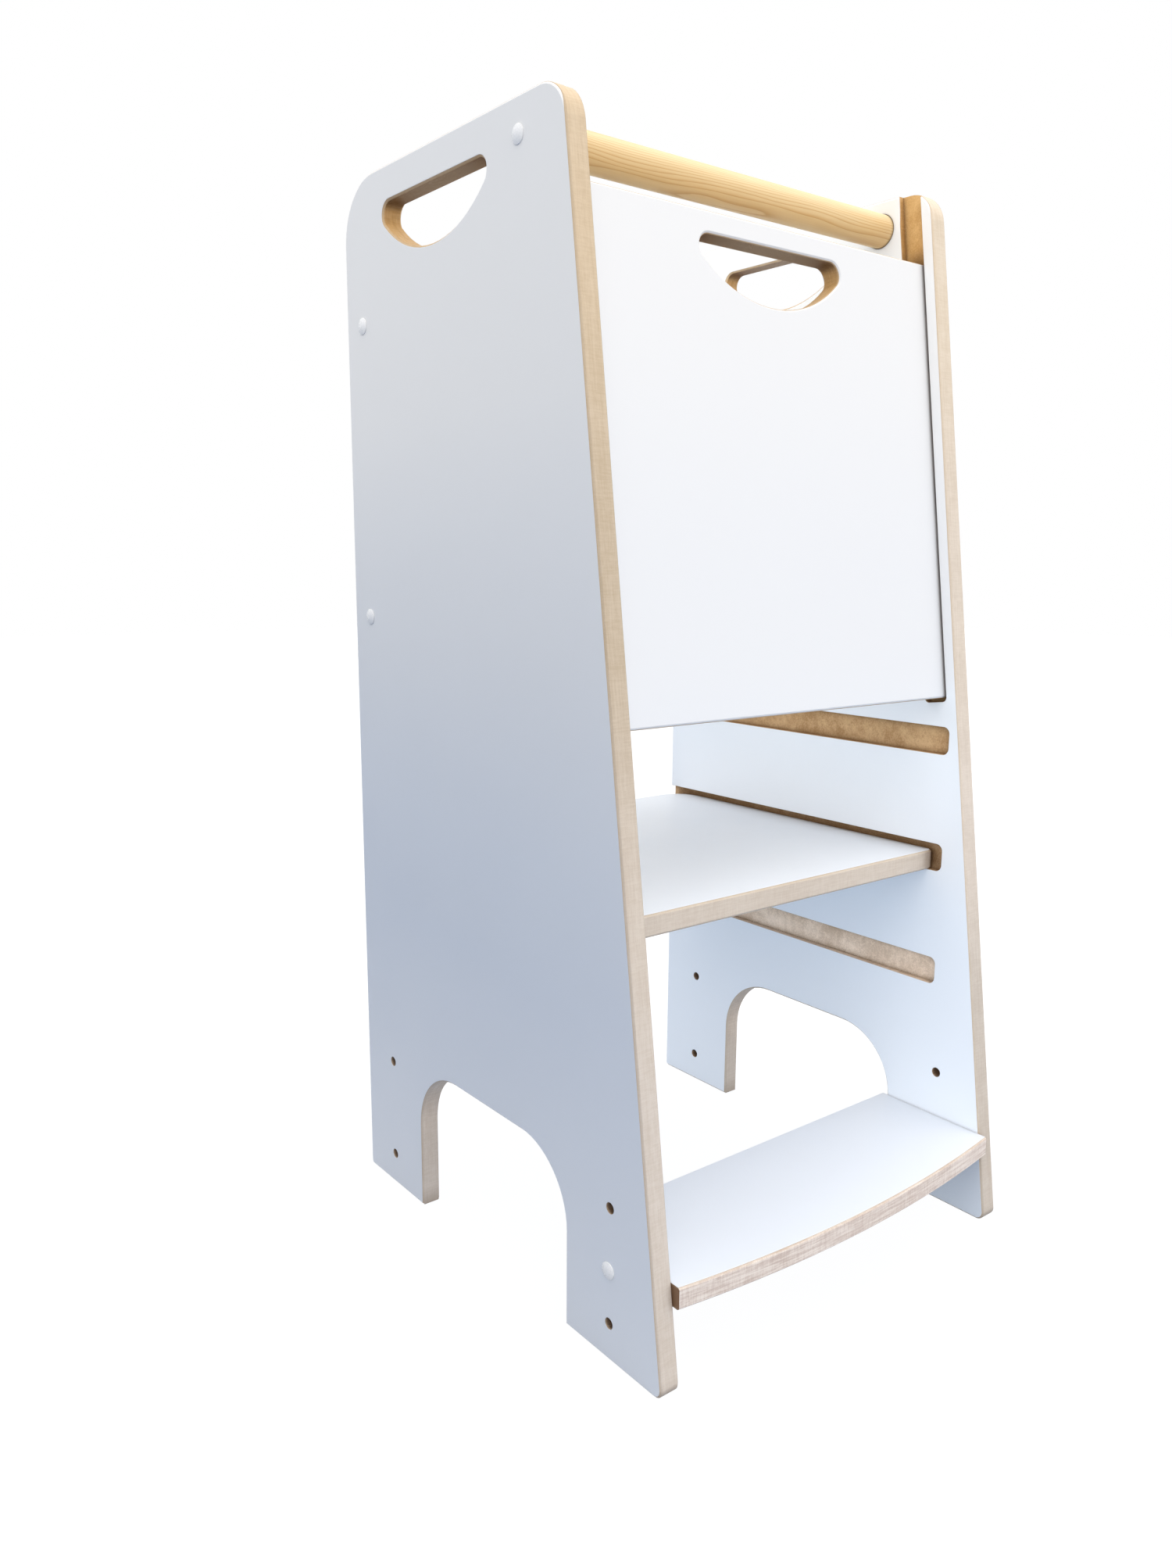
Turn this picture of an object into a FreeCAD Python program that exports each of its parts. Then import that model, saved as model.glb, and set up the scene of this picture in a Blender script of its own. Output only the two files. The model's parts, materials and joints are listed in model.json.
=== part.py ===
import FreeCAD, Part
import math
import os

import Sketcher

# A standing tower for a small child. X runs across it, -Y is the front with the step, +Z is up.
# Every fixed piece is drawn from the rear lower edge of the side panels (Y = 0, Z = 0) and is
# then placed so that the origin lies on the floor, under the middle of the whole object.

V = FreeCAD.Vector
DOC = FreeCAD.newDocument("kitchen_helper")

# ------------------------------------------------------------------ driving sizes, millimetres

SIZES = [
    ("board", 18, "thickness of every panel"),
    ("inner_width", 375, "clear width between the side panels"),
    ("height", 910, "height of the side panels"),
    ("base_depth", 438, "depth of a side panel at the floor"),
    ("top_depth", 316, "depth of a side panel at its top edge"),
    ("top_rear_radius", 50, "upper rear corner of a side panel"),
    ("top_front_radius", 30, "upper front corner of a side panel"),
    ("toe_radius", 8, "lower front corner of a side panel"),
    ("heel_radius", 4, "lower rear corner of a side panel"),
    ("arris", 1.6, "chamfer that eases the boards' edges"),
    ("groove_break", 0.4, "chamfer along the grooves' edges"),
    ("rear_foot", 101, "depth of the rear foot"),
    ("front_foot", 115, "depth of the front foot at the floor"),
    ("arch_height", 141, "top of the arch between the feet"),
    ("arch_radius", 60, "upper corners of the arch"),
    ("foot_hole", 9, "bore for a bolt-on floor brace"),
    ("foot_hole_rear", 49.5, "rear holes, from the rear edge"),
    ("foot_hole_front", 60.7, "front holes, from the front edge at the floor"),
    ("foot_hole_low", 30.5, "lower holes, from the floor"),
    ("foot_hole_rise", 94.5, "upper holes above the lower ones"),
    ("handle_width", 155, "width of a hand hole"),
    ("handle_height", 45.6, "height of a hand hole"),
    ("handle_corner", 10, "corner radius of a hand hole"),
    ("handle_drop", 27.8, "hand hole below the top edge of a side panel"),
    ("handle_gap", 27.4, "hand hole behind the rail"),
    ("groove_depth", 7, "depth of every groove"),
    ("level_low", 209, "floor of the lowest platform groove"),
    ("level_pitch", 107.7, "rise from one platform groove to the next"),
    ("level_opening", 25, "height of a platform groove"),
    ("level_land", 69.5, "closed front end of a platform groove, from the front edge's foot"),
    ("level_radius", 6, "corners of a platform groove's closed end"),
    ("guard_inset", 11.1, "guard groove behind the front edge"),
    ("guard_opening", 22.3, "width of the guard groove"),
    ("guard_land", 24.6, "guard groove's closed end above the top platform groove"),
    ("guard_radius", 4, "corners of the guard groove's closed end"),
    ("guard_height", 377, "length of the guard panel along the rake"),
    ("guard_rest", 3.5, "lower edge of the guard panel above its groove's closed end"),
    ("guard_corner", 3, "corners of the guard panel"),
    ("guard_handle_drop", 16.6, "hand hole below the top edge of the guard panel"),
    ("side_play", 0.5, "gap beside a loose board at a groove's floor"),
    ("platform_gap", 13, "platform behind the closed ends of its grooves"),
    ("platform_rear_gap", 10.5, "platform ahead of the side panels' rear edges"),
    ("platform_rear_radius", 30, "rear corners of the platform"),
    ("platform_front_radius", 6, "front corners of the platform"),
    ("step_top", 82.7, "tread of the step above the floor"),
    ("step_depth", 117.6, "depth of the step at its ends"),
    ("step_nose", 7.9, "step's ends ahead of the side panels' front edges"),
    ("step_bow", 14.6, "bow of the step's nose at its middle"),
    ("rail_diameter", 28, "round rail"),
    ("rail_drop", 25.5, "rail's axis below the top edge"),
    ("rail_gap", 7.3, "rail behind the guard groove"),
    ("rail_seat", 10, "rail's end in each side panel"),
    ("rail_clearance", 0.9, "bore over the rail, on the diameter"),
    ("rail_chamfer", 0.8, "chamfer round the rail's ends"),
    ("back_inset", 19.5, "back panel ahead of the rear edges"),
    ("back_drop", 67.4, "back panel below the top edge"),
    ("back_land", 43.2, "back panel above the top platform groove"),
    ("back_fix_inset", 51, "back panel's screws from its lower and upper edges"),
    ("screw_length", 50, "connector screw"),
    ("screw_shank", 7, "shank through the side panel"),
    ("screw_core", 6, "threaded length, as a plain bar"),
    ("screw_head", 10, "screw head"),
    ("screw_head_height", 3.5, "depth of the screw head"),
    ("screw_sink", 0.3, "head below the outer face"),
    ("screw_socket", 4, "hexagon socket, across flats"),
    ("screw_socket_depth", 3, "depth of the hexagon socket"),
    ("screw_clearance", 0.3, "holes over the screw, on the diameter"),
    ("hole_relief", 2, "bottom of a blind hole beyond what it holds"),
    ("cap_diameter", 13.6, "push cap"),
    ("cap_height", 2.5, "push cap proud of the outer face"),
    ("cap_rim", 0.7, "straight rim of the push cap"),
    ("cap_pin", 3.4, "pin of the push cap"),
    ("cap_pin_length", 2.6, "pin below the push cap"),
    ("dowel_diameter", 8, "wooden pin"),
    ("dowel_length", 30, "wooden pin"),
    ("dowel_seat", 10, "wooden pin's end in the side panel"),
    ("dowel_clearance", 0.2, "hole over a wooden pin, on the diameter"),
    ("step_dowel_spread", 70, "between the step's two pins at one end"),
    ("back_dowel_offset", 39, "back panel's pins inward of its screws"),
]

sheet = DOC.addObject("Spreadsheet::Sheet", "Sizes")
for row, (alias, number, meaning) in enumerate(SIZES, start=1):
    sheet.set(f"A{row}", meaning)
    sheet.set(f"B{row}", str(number))
    sheet.setAlias(f"B{row}", alias)
DOC.recompute()

# ------------------------------------------------------------------ places worked out from them

places = DOC.addObject("App::VarSet", "Places")


def place(name, expression, kind="App::PropertyFloat"):
    """Keep a worked-out place under a name."""
    places.addProperty(kind, name, "Places")
    places.setExpression(name, expression)
    DOC.recompute()


def front_edge(height):
    """Y of the raked front edge at a height."""
    return f"(-Sizes.base_depth + ({height}) * tan(Places.lean))"


def rake_y(up, back):
    """Y of a point so far up the front edge and so far square behind it."""
    return f"(-Sizes.base_depth + ({up}) * sin(Places.lean) + ({back}) * cos(Places.lean))"


def rake_z(up, back):
    """Z of a point so far up the front edge and so far square behind it."""
    return f"(({up}) * cos(Places.lean) - ({back}) * sin(Places.lean))"


def level_floor(level):
    """Floor of a platform groove, counted from 0 at the lowest."""
    return f"(Sizes.level_low + {level} * Sizes.level_pitch)"


LEVELS = 3
PLATFORM_LEVEL = 1
top_groove_edge = f"({level_floor(LEVELS - 1)} + Sizes.level_opening)"

place("lean", "atan((Sizes.base_depth - Sizes.top_depth) / Sizes.height)", "App::PropertyAngle")
place("inner_face", "Sizes.inner_width / 2")
place("outer_face", "Places.inner_face + Sizes.board")
place("level_stop", "Sizes.base_depth - Sizes.level_land")
place("loose_half_width", "Places.inner_face + Sizes.groove_depth - Sizes.side_play")

place("guard_seat", f"({top_groove_edge} + Sizes.guard_land) / cos(Places.lean)")
place("guard_foot", "Places.guard_seat + Sizes.guard_rest")
place("guard_back", "Sizes.guard_inset + Sizes.guard_opening")
place("guard_front", "Sizes.guard_inset + (Sizes.guard_opening - Sizes.board) / 2")

place("rail_z", "Sizes.height - Sizes.rail_drop")
place("rail_front", front_edge("Places.rail_z")
      + " + Places.guard_back / cos(Places.lean) + Sizes.rail_gap")
place("rail_y", "Places.rail_front + Sizes.rail_diameter / 2")
place("rail_half_length", "Places.inner_face + Sizes.rail_seat")

place("handle_y", "Places.rail_front + Sizes.rail_diameter + Sizes.handle_gap"
      " + Sizes.handle_width / 2")
place("handle_flat", "Sizes.handle_width / 2 - Sizes.handle_corner")
place("handle_sweep", "(Places.handle_flat ^ 2 + (Sizes.handle_height - Sizes.handle_corner) ^ 2"
      " - Sizes.handle_corner ^ 2) / (2 * (Sizes.handle_height - 2 * Sizes.handle_corner))")

place("back_low", f"{top_groove_edge} + Sizes.back_land")
place("back_high", "Sizes.height - Sizes.back_drop")
place("back_middle_y", "-Sizes.back_inset - Sizes.board / 2")
place("back_fix_low", "Places.back_low + Sizes.back_fix_inset")
place("back_fix_high", "Places.back_high - Sizes.back_fix_inset")
place("back_dowel_low", "Places.back_fix_low + Sizes.back_dowel_offset")
place("back_dowel_high", "Places.back_fix_high - Sizes.back_dowel_offset")

place("step_ends_y", front_edge("Sizes.step_top") + " - Sizes.step_nose")
place("step_rear_y", "Places.step_ends_y + Sizes.step_depth")
place("step_front_y", "Places.step_ends_y - Sizes.step_bow")
place("step_fix_y", "(Places.step_ends_y + Places.step_rear_y) / 2")
place("step_fix_z", "Sizes.step_top - Sizes.board / 2")
place("step_nose_radius", "(Places.inner_face ^ 2 + Sizes.step_bow ^ 2) / (2 * Sizes.step_bow)")

place("screw_reach", "Sizes.screw_length + Sizes.screw_sink - Sizes.board")
place("rear_y", "-Places.step_front_y / 2")


def size(expression):
    """Present value of an expression, in millimetres or degrees."""
    found = sheet.evalExpression(expression)
    return float(getattr(found, "Value", found))


# ------------------------------------------------------------------ drawing and cutting helpers

NEAR = 1e-4
made = []


def new_body(name):
    """A piece of its own, whose label names it."""
    body = DOC.addObject("PartDesign::Body", name)
    body.Label = name
    made.append(body)
    return body


def put(body, x, y, z):
    """Place a piece from three expressions."""
    for axis, expression in zip("xyz", (x, y, z)):
        body.setExpression(f"Placement.Base.{axis}", expression)


def sketch_on(body, name, role, offset=None):
    """A sketch on one of the piece's own origin planes, moved along its normal."""
    plane = [part for part in body.Origin.OriginFeatures if part.Role == role][0]
    sketch = body.newObject("Sketcher::SketchObject", name)
    sketch.AttachmentSupport = [(plane, "")]
    sketch.MapMode = "FlatFace"
    if offset is not None:
        sketch.setExpression("AttachmentOffset.Base.z", offset)
    return sketch


def draw_line(sketch, start, end):
    """A straight run between two points of a sketch."""
    return sketch.addGeometry(Part.LineSegment(V(*start, 0), V(*end, 0)), False)


def fix(sketch, name, kind, where, expression):
    """Add a named dimension to a sketch and tie it to an expression."""
    number = sketch.addConstraint(Sketcher.Constraint(kind, *where, size(expression)))
    sketch.renameConstraint(number, name)
    sketch.setExpression(f"Constraints.{name}", expression)


def fix_point(sketch, name, geometry, end, across, along):
    """Dimension a point from the sketch's origin."""
    fix(sketch, f"{name}_across", "DistanceX", (-1, 1, geometry, end), across)
    fix(sketch, f"{name}_along", "DistanceY", (-1, 1, geometry, end), along)


def rounded_outline(sketch, name, corners):
    """A closed outline of straight runs through (across, along, radius) corners.

    Each corner with a radius keeps its sharp corner as a construction point."""
    points = [V(size(across), size(along), 0) for across, along, radius in corners]
    count = len(points)
    ways = [(points[(i + 1) % count] - points[i]).normalize() for i in range(count)]
    leave = []
    reach = []
    arcs = []
    for i, (across, along, radius) in enumerate(corners):
        before, after = ways[i - 1], ways[i]
        turn = math.atan2(before.cross(after).z, before.dot(after))
        cut = 0.0 if radius is None else size(radius) * abs(math.tan(turn / 2))
        reach.append(points[i] - before * cut)
        leave.append(points[i] + after * cut)
        if radius is None:
            arcs.append(None)
            continue
        left_of_run = V(-before.y, before.x, 0) * math.copysign(1, turn)
        centre = reach[i] + left_of_run * size(radius)
        first, last = (reach[i], leave[i]) if turn > 0 else (leave[i], reach[i])
        angles = [math.atan2(p.y - centre.y, p.x - centre.x) for p in (first, last)]
        circle = Part.Circle(centre, V(0, 0, 1), size(radius))
        arc = sketch.addGeometry(Part.ArcOfCircle(circle, *angles), False)
        arcs.append((arc, 1, 2) if turn > 0 else (arc, 2, 1))
    runs = []
    for i in range(count):
        run = Part.LineSegment(leave[i], reach[(i + 1) % count])
        runs.append(sketch.addGeometry(run, False))
    for i, (across, along, radius) in enumerate(corners):
        label = f"{name}{i}"
        if radius is None:
            joint = Sketcher.Constraint("Coincident", runs[i - 1], 2, runs[i], 1)
            sketch.addConstraint(joint)
            fix_point(sketch, label, runs[i], 1, across, along)
            continue
        arc, arrive, depart = arcs[i]
        mark = sketch.addGeometry(Part.Point(points[i]), True)
        sketch.addConstraint([
            Sketcher.Constraint("Tangent", runs[i - 1], 2, arc, arrive),
            Sketcher.Constraint("Tangent", arc, depart, runs[i], 1),
            Sketcher.Constraint("PointOnObject", mark, 1, runs[i - 1]),
            Sketcher.Constraint("PointOnObject", mark, 1, runs[i]),
        ])
        fix_point(sketch, label, mark, 1, across, along)
        fix(sketch, f"{label}_radius", "Radius", (arc,), radius)


def hand_hole(sketch, middle, top):
    """A D: flat above, with rounded ends that run into one wide sweep below."""
    flat, corner, sweep = (size(f) for f in
                           ("Places.handle_flat", "Sizes.handle_corner", "Places.handle_sweep"))
    x, y = size(middle), size(top)
    lowest = y - size("Sizes.handle_height")
    sweep_centre = V(x, lowest + sweep, 0)
    up = V(0, 0, 1)
    lean = math.atan2(y - corner - sweep_centre.y, flat)
    right_circle = Part.Circle(V(x + flat, y - corner, 0), up, corner)
    left_circle = Part.Circle(V(x - flat, y - corner, 0), up, corner)
    edge = sketch.addGeometry(Part.LineSegment(V(x - flat, y, 0), V(x + flat, y, 0)), False)
    right = sketch.addGeometry(Part.ArcOfCircle(right_circle, lean, math.pi / 2), False)
    left = sketch.addGeometry(Part.ArcOfCircle(left_circle, math.pi / 2, math.pi - lean), False)
    below = sketch.addGeometry(
        Part.ArcOfCircle(Part.Circle(sweep_centre, up, sweep), math.pi - lean, lean), False)
    sketch.addConstraint([
        Sketcher.Constraint("Horizontal", edge),
        Sketcher.Constraint("Tangent", edge, 2, right, 2),
        Sketcher.Constraint("Tangent", right, 1, below, 2),
        Sketcher.Constraint("Tangent", below, 1, left, 2),
        Sketcher.Constraint("Tangent", left, 1, edge, 1),
        Sketcher.Constraint("Equal", left, right),
    ])
    fix_point(sketch, "handle", edge, 1, f"{middle} - Places.handle_flat", top)
    fix(sketch, "handle_flat", "DistanceX", (edge, 1, edge, 2), "2 * Places.handle_flat")
    fix(sketch, "handle_corner", "Radius", (right,), "Sizes.handle_corner")
    fix(sketch, "handle_sweep", "Radius", (below,), "Places.handle_sweep")


def pad(body, sketch, length, backwards=False, both_ways=False):
    """Thicken a sketch; backwards goes against its normal."""
    feature = body.newObject("PartDesign::Pad", f"{sketch.Name}_pad")
    feature.Profile = sketch
    feature.setExpression("Length", length)
    feature.Reversed = backwards
    feature.Midplane = both_ways
    DOC.recompute()
    return feature


def cut_from(body, kind, name, sketch):
    """Start a cutting feature and hand back the volume that it has to lessen."""
    DOC.recompute()
    volume = body.Shape.Volume
    feature = body.newObject(kind, name)
    feature.Profile = sketch
    return feature, volume


def pocket(body, sketch, depth, along_normal):
    """Cut a sketch into a piece; a cut that misses stops the build."""
    feature, volume = cut_from(body, "PartDesign::Pocket", f"{sketch.Name}_cut", sketch)
    feature.setExpression("Length", depth)
    feature.Reversed = along_normal
    DOC.recompute()
    if body.Shape.Volume > volume - NEAR:
        raise RuntimeError(f"{sketch.Name} cuts nothing")
    return feature


def drill(body, name, role, face, centres, diameter, depth, along_normal):
    """Round holes of one size, from a face of a piece."""
    sketch = sketch_on(body, name, role, face)
    for i, (across, along) in enumerate(centres):
        circle = Part.Circle(V(size(across), size(along), 0), V(0, 0, 1), size(diameter) / 2)
        hole = sketch.addGeometry(circle, False)
        fix_point(sketch, f"hole{i}", hole, 3, across, along)
        fix(sketch, f"hole{i}_bore", "Diameter", (hole,), diameter)
    return pocket(body, sketch, depth, along_normal)


def revolve(body, sketch):
    """Turn a half profile about the piece's own X axis."""
    feature = body.newObject("PartDesign::Revolution", f"{body.Name}_turned")
    feature.Profile = sketch
    feature.ReferenceAxis = (sketch, ["H_Axis"])
    feature.Angle = 360
    DOC.recompute()
    return feature


def ease(body, amount, belongs):
    """Chamfer every edge of a piece that passes a test."""
    base = body.Tip
    edges = [f"Edge{i + 1}" for i, edge in enumerate(base.Shape.Edges) if belongs(edge)]
    feature = body.newObject("PartDesign::Chamfer", f"{body.Name}_eased")
    feature.Base = (base, edges)
    feature.setExpression("Size", amount)
    DOC.recompute()


def lies_at(edge, axis, place_on_axis):
    """True for an edge that lies wholly in the plane square to an axis at a place."""
    box = edge.BoundBox
    low, high = getattr(box, f"{axis}Min"), getattr(box, f"{axis}Max")
    return abs(low - place_on_axis) < NEAR and abs(high - place_on_axis) < NEAR


def runs_across(edge):
    """True for an edge that runs from one side panel towards the other."""
    return edge.BoundBox.XLength > NEAR


def repeat(body, features, axis, spread):
    """Make a second, separate copy of a piece's features, so far along an axis."""
    body.AllowCompound = True
    line = [part for part in body.Origin.OriginFeatures if part.Role == f"{axis}_Axis"][0]
    feature = body.newObject("PartDesign::LinearPattern", f"{body.Name}_pair")
    feature.Originals = features
    feature.Direction = (line, [""])
    feature.Occurrences = 2
    feature.setExpression("Length", spread)
    body.Tip = feature
    DOC.recompute()


# ------------------------------------------------------------------ side panels

SIDES = (("left", -1), ("right", 1))

rail_hole = [("Places.rail_y", "Places.rail_z")]
back_screw_holes = [("Places.back_middle_y", "Places.back_fix_low"),
                    ("Places.back_middle_y", "Places.back_fix_high")]
step_screw_hole = [("Places.step_fix_y", "Places.step_fix_z")]
screw_holes = rail_hole + back_screw_holes + step_screw_hole
step_dowel_holes = [(f"Places.step_fix_y + {way} * Sizes.step_dowel_spread / 2",
                     "Places.step_fix_z") for way in (-1, 1)]
back_dowel_holes = [("Places.back_middle_y", "Places.back_dowel_low"),
                    ("Places.back_middle_y", "Places.back_dowel_high")]
foot_holes = [(across, along)
              for across in ("-Sizes.foot_hole_rear", "Sizes.foot_hole_front - Sizes.base_depth")
              for along in ("Sizes.foot_hole_low", "Sizes.foot_hole_low + Sizes.foot_hole_rise")]


def is_groove_edge(edge):
    """True for an edge between the inner face and the wall of a groove."""
    if not lies_at(edge, "X", 0):
        return False
    middle = edge.CenterOfMass
    inside_rim = size("Sizes.arris") + NEAR
    for level in range(LEVELS):
        floor = size(level_floor(level))
        if floor - NEAR < middle.z < floor + size("Sizes.level_opening") + NEAR:
            return -size("Places.level_stop") - NEAR < middle.y < -inside_rim
    lean = math.radians(size("Places.lean"))
    run = middle.y + size("Sizes.base_depth")
    up = run * math.sin(lean) + middle.z * math.cos(lean)
    back = run * math.cos(lean) - middle.z * math.sin(lean)
    across = size("Sizes.guard_inset") - NEAR < back < size("Places.guard_back") + NEAR
    below_rim = middle.z < size("Sizes.height") - inside_rim
    return across and below_rim and up > size("Places.guard_seat") - NEAR


def side_panel(name, side):
    """A raked panel; its inner face is its own X = 0 plane."""
    body = new_body(f"side_panel_{name}")
    outward = side > 0
    arch_front = "Sizes.front_foot - Sizes.base_depth"

    outline = sketch_on(body, f"outline_{name}", "YZ_Plane")
    rounded_outline(outline, "edge", [
        ("0", "0", "Sizes.heel_radius"),
        ("0", "Sizes.height", "Sizes.top_rear_radius"),
        ("-Sizes.top_depth", "Sizes.height", "Sizes.top_front_radius"),
        ("-Sizes.base_depth", "0", "Sizes.toe_radius"),
        (arch_front, "0", None),
        (arch_front, "Sizes.arch_height", "Sizes.arch_radius"),
        ("-Sizes.rear_foot", "Sizes.arch_height", "Sizes.arch_radius"),
        ("-Sizes.rear_foot", "0", None),
    ])
    hand_hole(outline, "Places.handle_y", "Sizes.height - Sizes.handle_drop")
    pad(body, outline, "Sizes.board", backwards=not outward)
    faces = (0, side * size("Sizes.board"))
    ease(body, "Sizes.arris", lambda edge: any(lies_at(edge, "X", face) for face in faces))

    levels = sketch_on(body, f"level_grooves_{name}", "YZ_Plane")
    for level in range(LEVELS):
        floor = level_floor(level)
        roof = f"{floor} + Sizes.level_opening"
        rounded_outline(levels, f"level{level}_", [
            ("-Places.level_stop", floor, "Sizes.level_radius"),
            ("Sizes.board", floor, None),
            ("Sizes.board", roof, None),
            ("-Places.level_stop", roof, "Sizes.level_radius"),
        ])
    pocket(body, levels, "Sizes.groove_depth", along_normal=outward)

    raked = sketch_on(body, f"guard_groove_{name}", "YZ_Plane")
    above = "(Sizes.height + Sizes.board) / cos(Places.lean)"
    rounded_outline(raked, "guard", [
        (rake_y(up, back), rake_z(up, back), radius) for up, back, radius in (
            ("Places.guard_seat", "Sizes.guard_inset", "Sizes.guard_radius"),
            ("Places.guard_seat", "Places.guard_back", "Sizes.guard_radius"),
            (above, "Places.guard_back", None),
            (above, "Sizes.guard_inset", None),
        )])
    pocket(body, raked, "Sizes.groove_depth", along_normal=outward)
    ease(body, "Sizes.groove_break", is_groove_edge)

    outer = f"{side} * Sizes.board"
    drill(body, f"foot_holes_{name}", "YZ_Plane", None, foot_holes,
          "Sizes.foot_hole", "Sizes.board", outward)
    drill(body, f"rail_bore_{name}", "YZ_Plane", None, rail_hole,
          "Sizes.rail_diameter + Sizes.rail_clearance", "Sizes.rail_seat", outward)
    drill(body, f"screw_holes_{name}", "YZ_Plane", None, screw_holes,
          "Sizes.screw_shank + Sizes.screw_clearance", "Sizes.board", outward)
    drill(body, f"head_recesses_{name}", "YZ_Plane", outer, screw_holes,
          "Sizes.screw_head + Sizes.screw_clearance",
          "Sizes.screw_head_height + Sizes.screw_sink", not outward)
    drill(body, f"pin_holes_{name}", "YZ_Plane", None, step_dowel_holes + back_dowel_holes,
          "Sizes.dowel_diameter + Sizes.dowel_clearance", "Sizes.dowel_seat", outward)
    put(body, f"{side} * Places.inner_face", "Places.rear_y", "0")


# ------------------------------------------------------------------ boards between them

def end_holes(body, fixings, dowels):
    """Pilot holes and pin holes in both ends of a board between the side panels."""
    for name, side in SIDES:
        end = f"{side} * Places.inner_face"
        drill(body, f"{body.Name}_pilot_{name}", "YZ_Plane", end, fixings,
              "Sizes.screw_core + Sizes.screw_clearance",
              "Places.screw_reach + Sizes.hole_relief", side < 0)
        drill(body, f"{body.Name}_pins_{name}", "YZ_Plane", end, dowels,
              "Sizes.dowel_diameter + Sizes.dowel_clearance",
              "Sizes.dowel_length - Sizes.dowel_seat + Sizes.hole_relief", side < 0)


def back_panel():
    """An upright board that stiffens the rear."""
    body = new_body("back_panel")
    front = "Places.back_middle_y - Sizes.board / 2"
    outline = sketch_on(body, "back_outline", "XZ_Plane", f"-({front})")
    rounded_outline(outline, "back", [
        ("-Places.inner_face", "Places.back_low", None),
        ("Places.inner_face", "Places.back_low", None),
        ("Places.inner_face", "Places.back_high", None),
        ("-Places.inner_face", "Places.back_high", None),
    ])
    pad(body, outline, "Sizes.board", backwards=True)
    ease(body, "Sizes.arris", runs_across)
    end_holes(body, back_screw_holes, back_dowel_holes)
    put(body, "0", "Places.rear_y", "0")


def step_board():
    """A low tread whose nose is bowed forwards."""
    body = new_body("step_board")
    outline = sketch_on(body, "step_outline", "XY_Plane", "Sizes.step_top - Sizes.board")
    half, front, rear = (size(f"Places.{f}") for f in ("inner_face", "step_ends_y", "step_rear_y"))
    nose_centre = size("Places.step_front_y + Places.step_nose_radius")
    edges = [((-half, rear), (-half, front)), ((half, front), (half, rear)),
             ((half, rear), (-half, rear))]
    left, right, back = (draw_line(outline, *edge) for edge in edges)
    swing = math.atan2(half, nose_centre - front)
    nose_circle = Part.Circle(V(0, nose_centre, 0), V(0, 0, 1), size("Places.step_nose_radius"))
    down = -math.pi / 2
    nose = outline.addGeometry(Part.ArcOfCircle(nose_circle, down - swing, down + swing), False)
    outline.addConstraint([
        Sketcher.Constraint("Coincident", left, 2, nose, 1),
        Sketcher.Constraint("Coincident", nose, 2, right, 1),
        Sketcher.Constraint("Coincident", right, 2, back, 1),
        Sketcher.Constraint("Coincident", back, 2, left, 1),
        Sketcher.Constraint("Vertical", left),
        Sketcher.Constraint("Vertical", right),
        Sketcher.Constraint("Horizontal", back),
    ])
    fix_point(outline, "left_end", left, 2, "-Places.inner_face", "Places.step_ends_y")
    fix_point(outline, "right_end", right, 1, "Places.inner_face", "Places.step_ends_y")
    fix(outline, "rear", "DistanceY", (-1, 1, back, 1), "Places.step_rear_y")
    fix(outline, "nose", "Radius", (nose,), "Places.step_nose_radius")
    pad(body, outline, "Sizes.board")
    ease(body, "Sizes.arris", runs_across)
    end_holes(body, step_screw_hole, step_dowel_holes)
    put(body, "0", "Places.rear_y", "0")


def handrail():
    """A round rail whose ends sit in blind bores."""
    body = new_body("handrail")
    section = sketch_on(body, "rail_section", "YZ_Plane")
    centre = V(size("Places.rail_y"), size("Places.rail_z"), 0)
    ring = section.addGeometry(
        Part.Circle(centre, V(0, 0, 1), size("Sizes.rail_diameter") / 2), False)
    fix_point(section, "rail", ring, 3, *rail_hole[0])
    fix(section, "rail_bore", "Diameter", (ring,), "Sizes.rail_diameter")
    pad(body, section, "2 * Places.rail_half_length", both_ways=True)
    ends = [side * size("Places.rail_half_length") for name, side in SIDES]
    ease(body, "Sizes.rail_chamfer", lambda edge: any(lies_at(edge, "X", end) for end in ends))
    for name, side in SIDES:
        end = f"{side} * Places.rail_half_length"
        drill(body, f"rail_pilot_{name}", "YZ_Plane", end, rail_hole,
              "Sizes.screw_core + Sizes.screw_clearance",
              "Places.screw_reach + Sizes.rail_seat + Sizes.hole_relief", side < 0)
        drill(body, f"rail_shank_{name}", "YZ_Plane", end, rail_hole,
              "Sizes.screw_shank + Sizes.screw_clearance",
              "Sizes.rail_seat + Sizes.screw_clearance", side < 0)
    put(body, "0", "Places.rear_y", "0")


# ------------------------------------------------------------------ loose boards

def standing_platform():
    """A board that slides into a pair of level grooves from the rear."""
    body = new_body("standing_platform")
    outline = sketch_on(body, "platform_outline", "XY_Plane")
    front = "Sizes.platform_gap - Places.level_stop"
    rear = "-Sizes.platform_rear_gap"
    rounded_outline(outline, "platform", [
        ("-Places.loose_half_width", front, "Sizes.platform_front_radius"),
        ("Places.loose_half_width", front, "Sizes.platform_front_radius"),
        ("Places.loose_half_width", rear, "Sizes.platform_rear_radius"),
        ("-Places.loose_half_width", rear, "Sizes.platform_rear_radius"),
    ])
    pad(body, outline, "Sizes.board")
    faces = (0, size("Sizes.board"))
    ease(body, "Sizes.arris", lambda edge: any(lies_at(edge, "Z", face) for face in faces))
    put(body, "0", "Places.rear_y", level_floor(PLATFORM_LEVEL))


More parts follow.
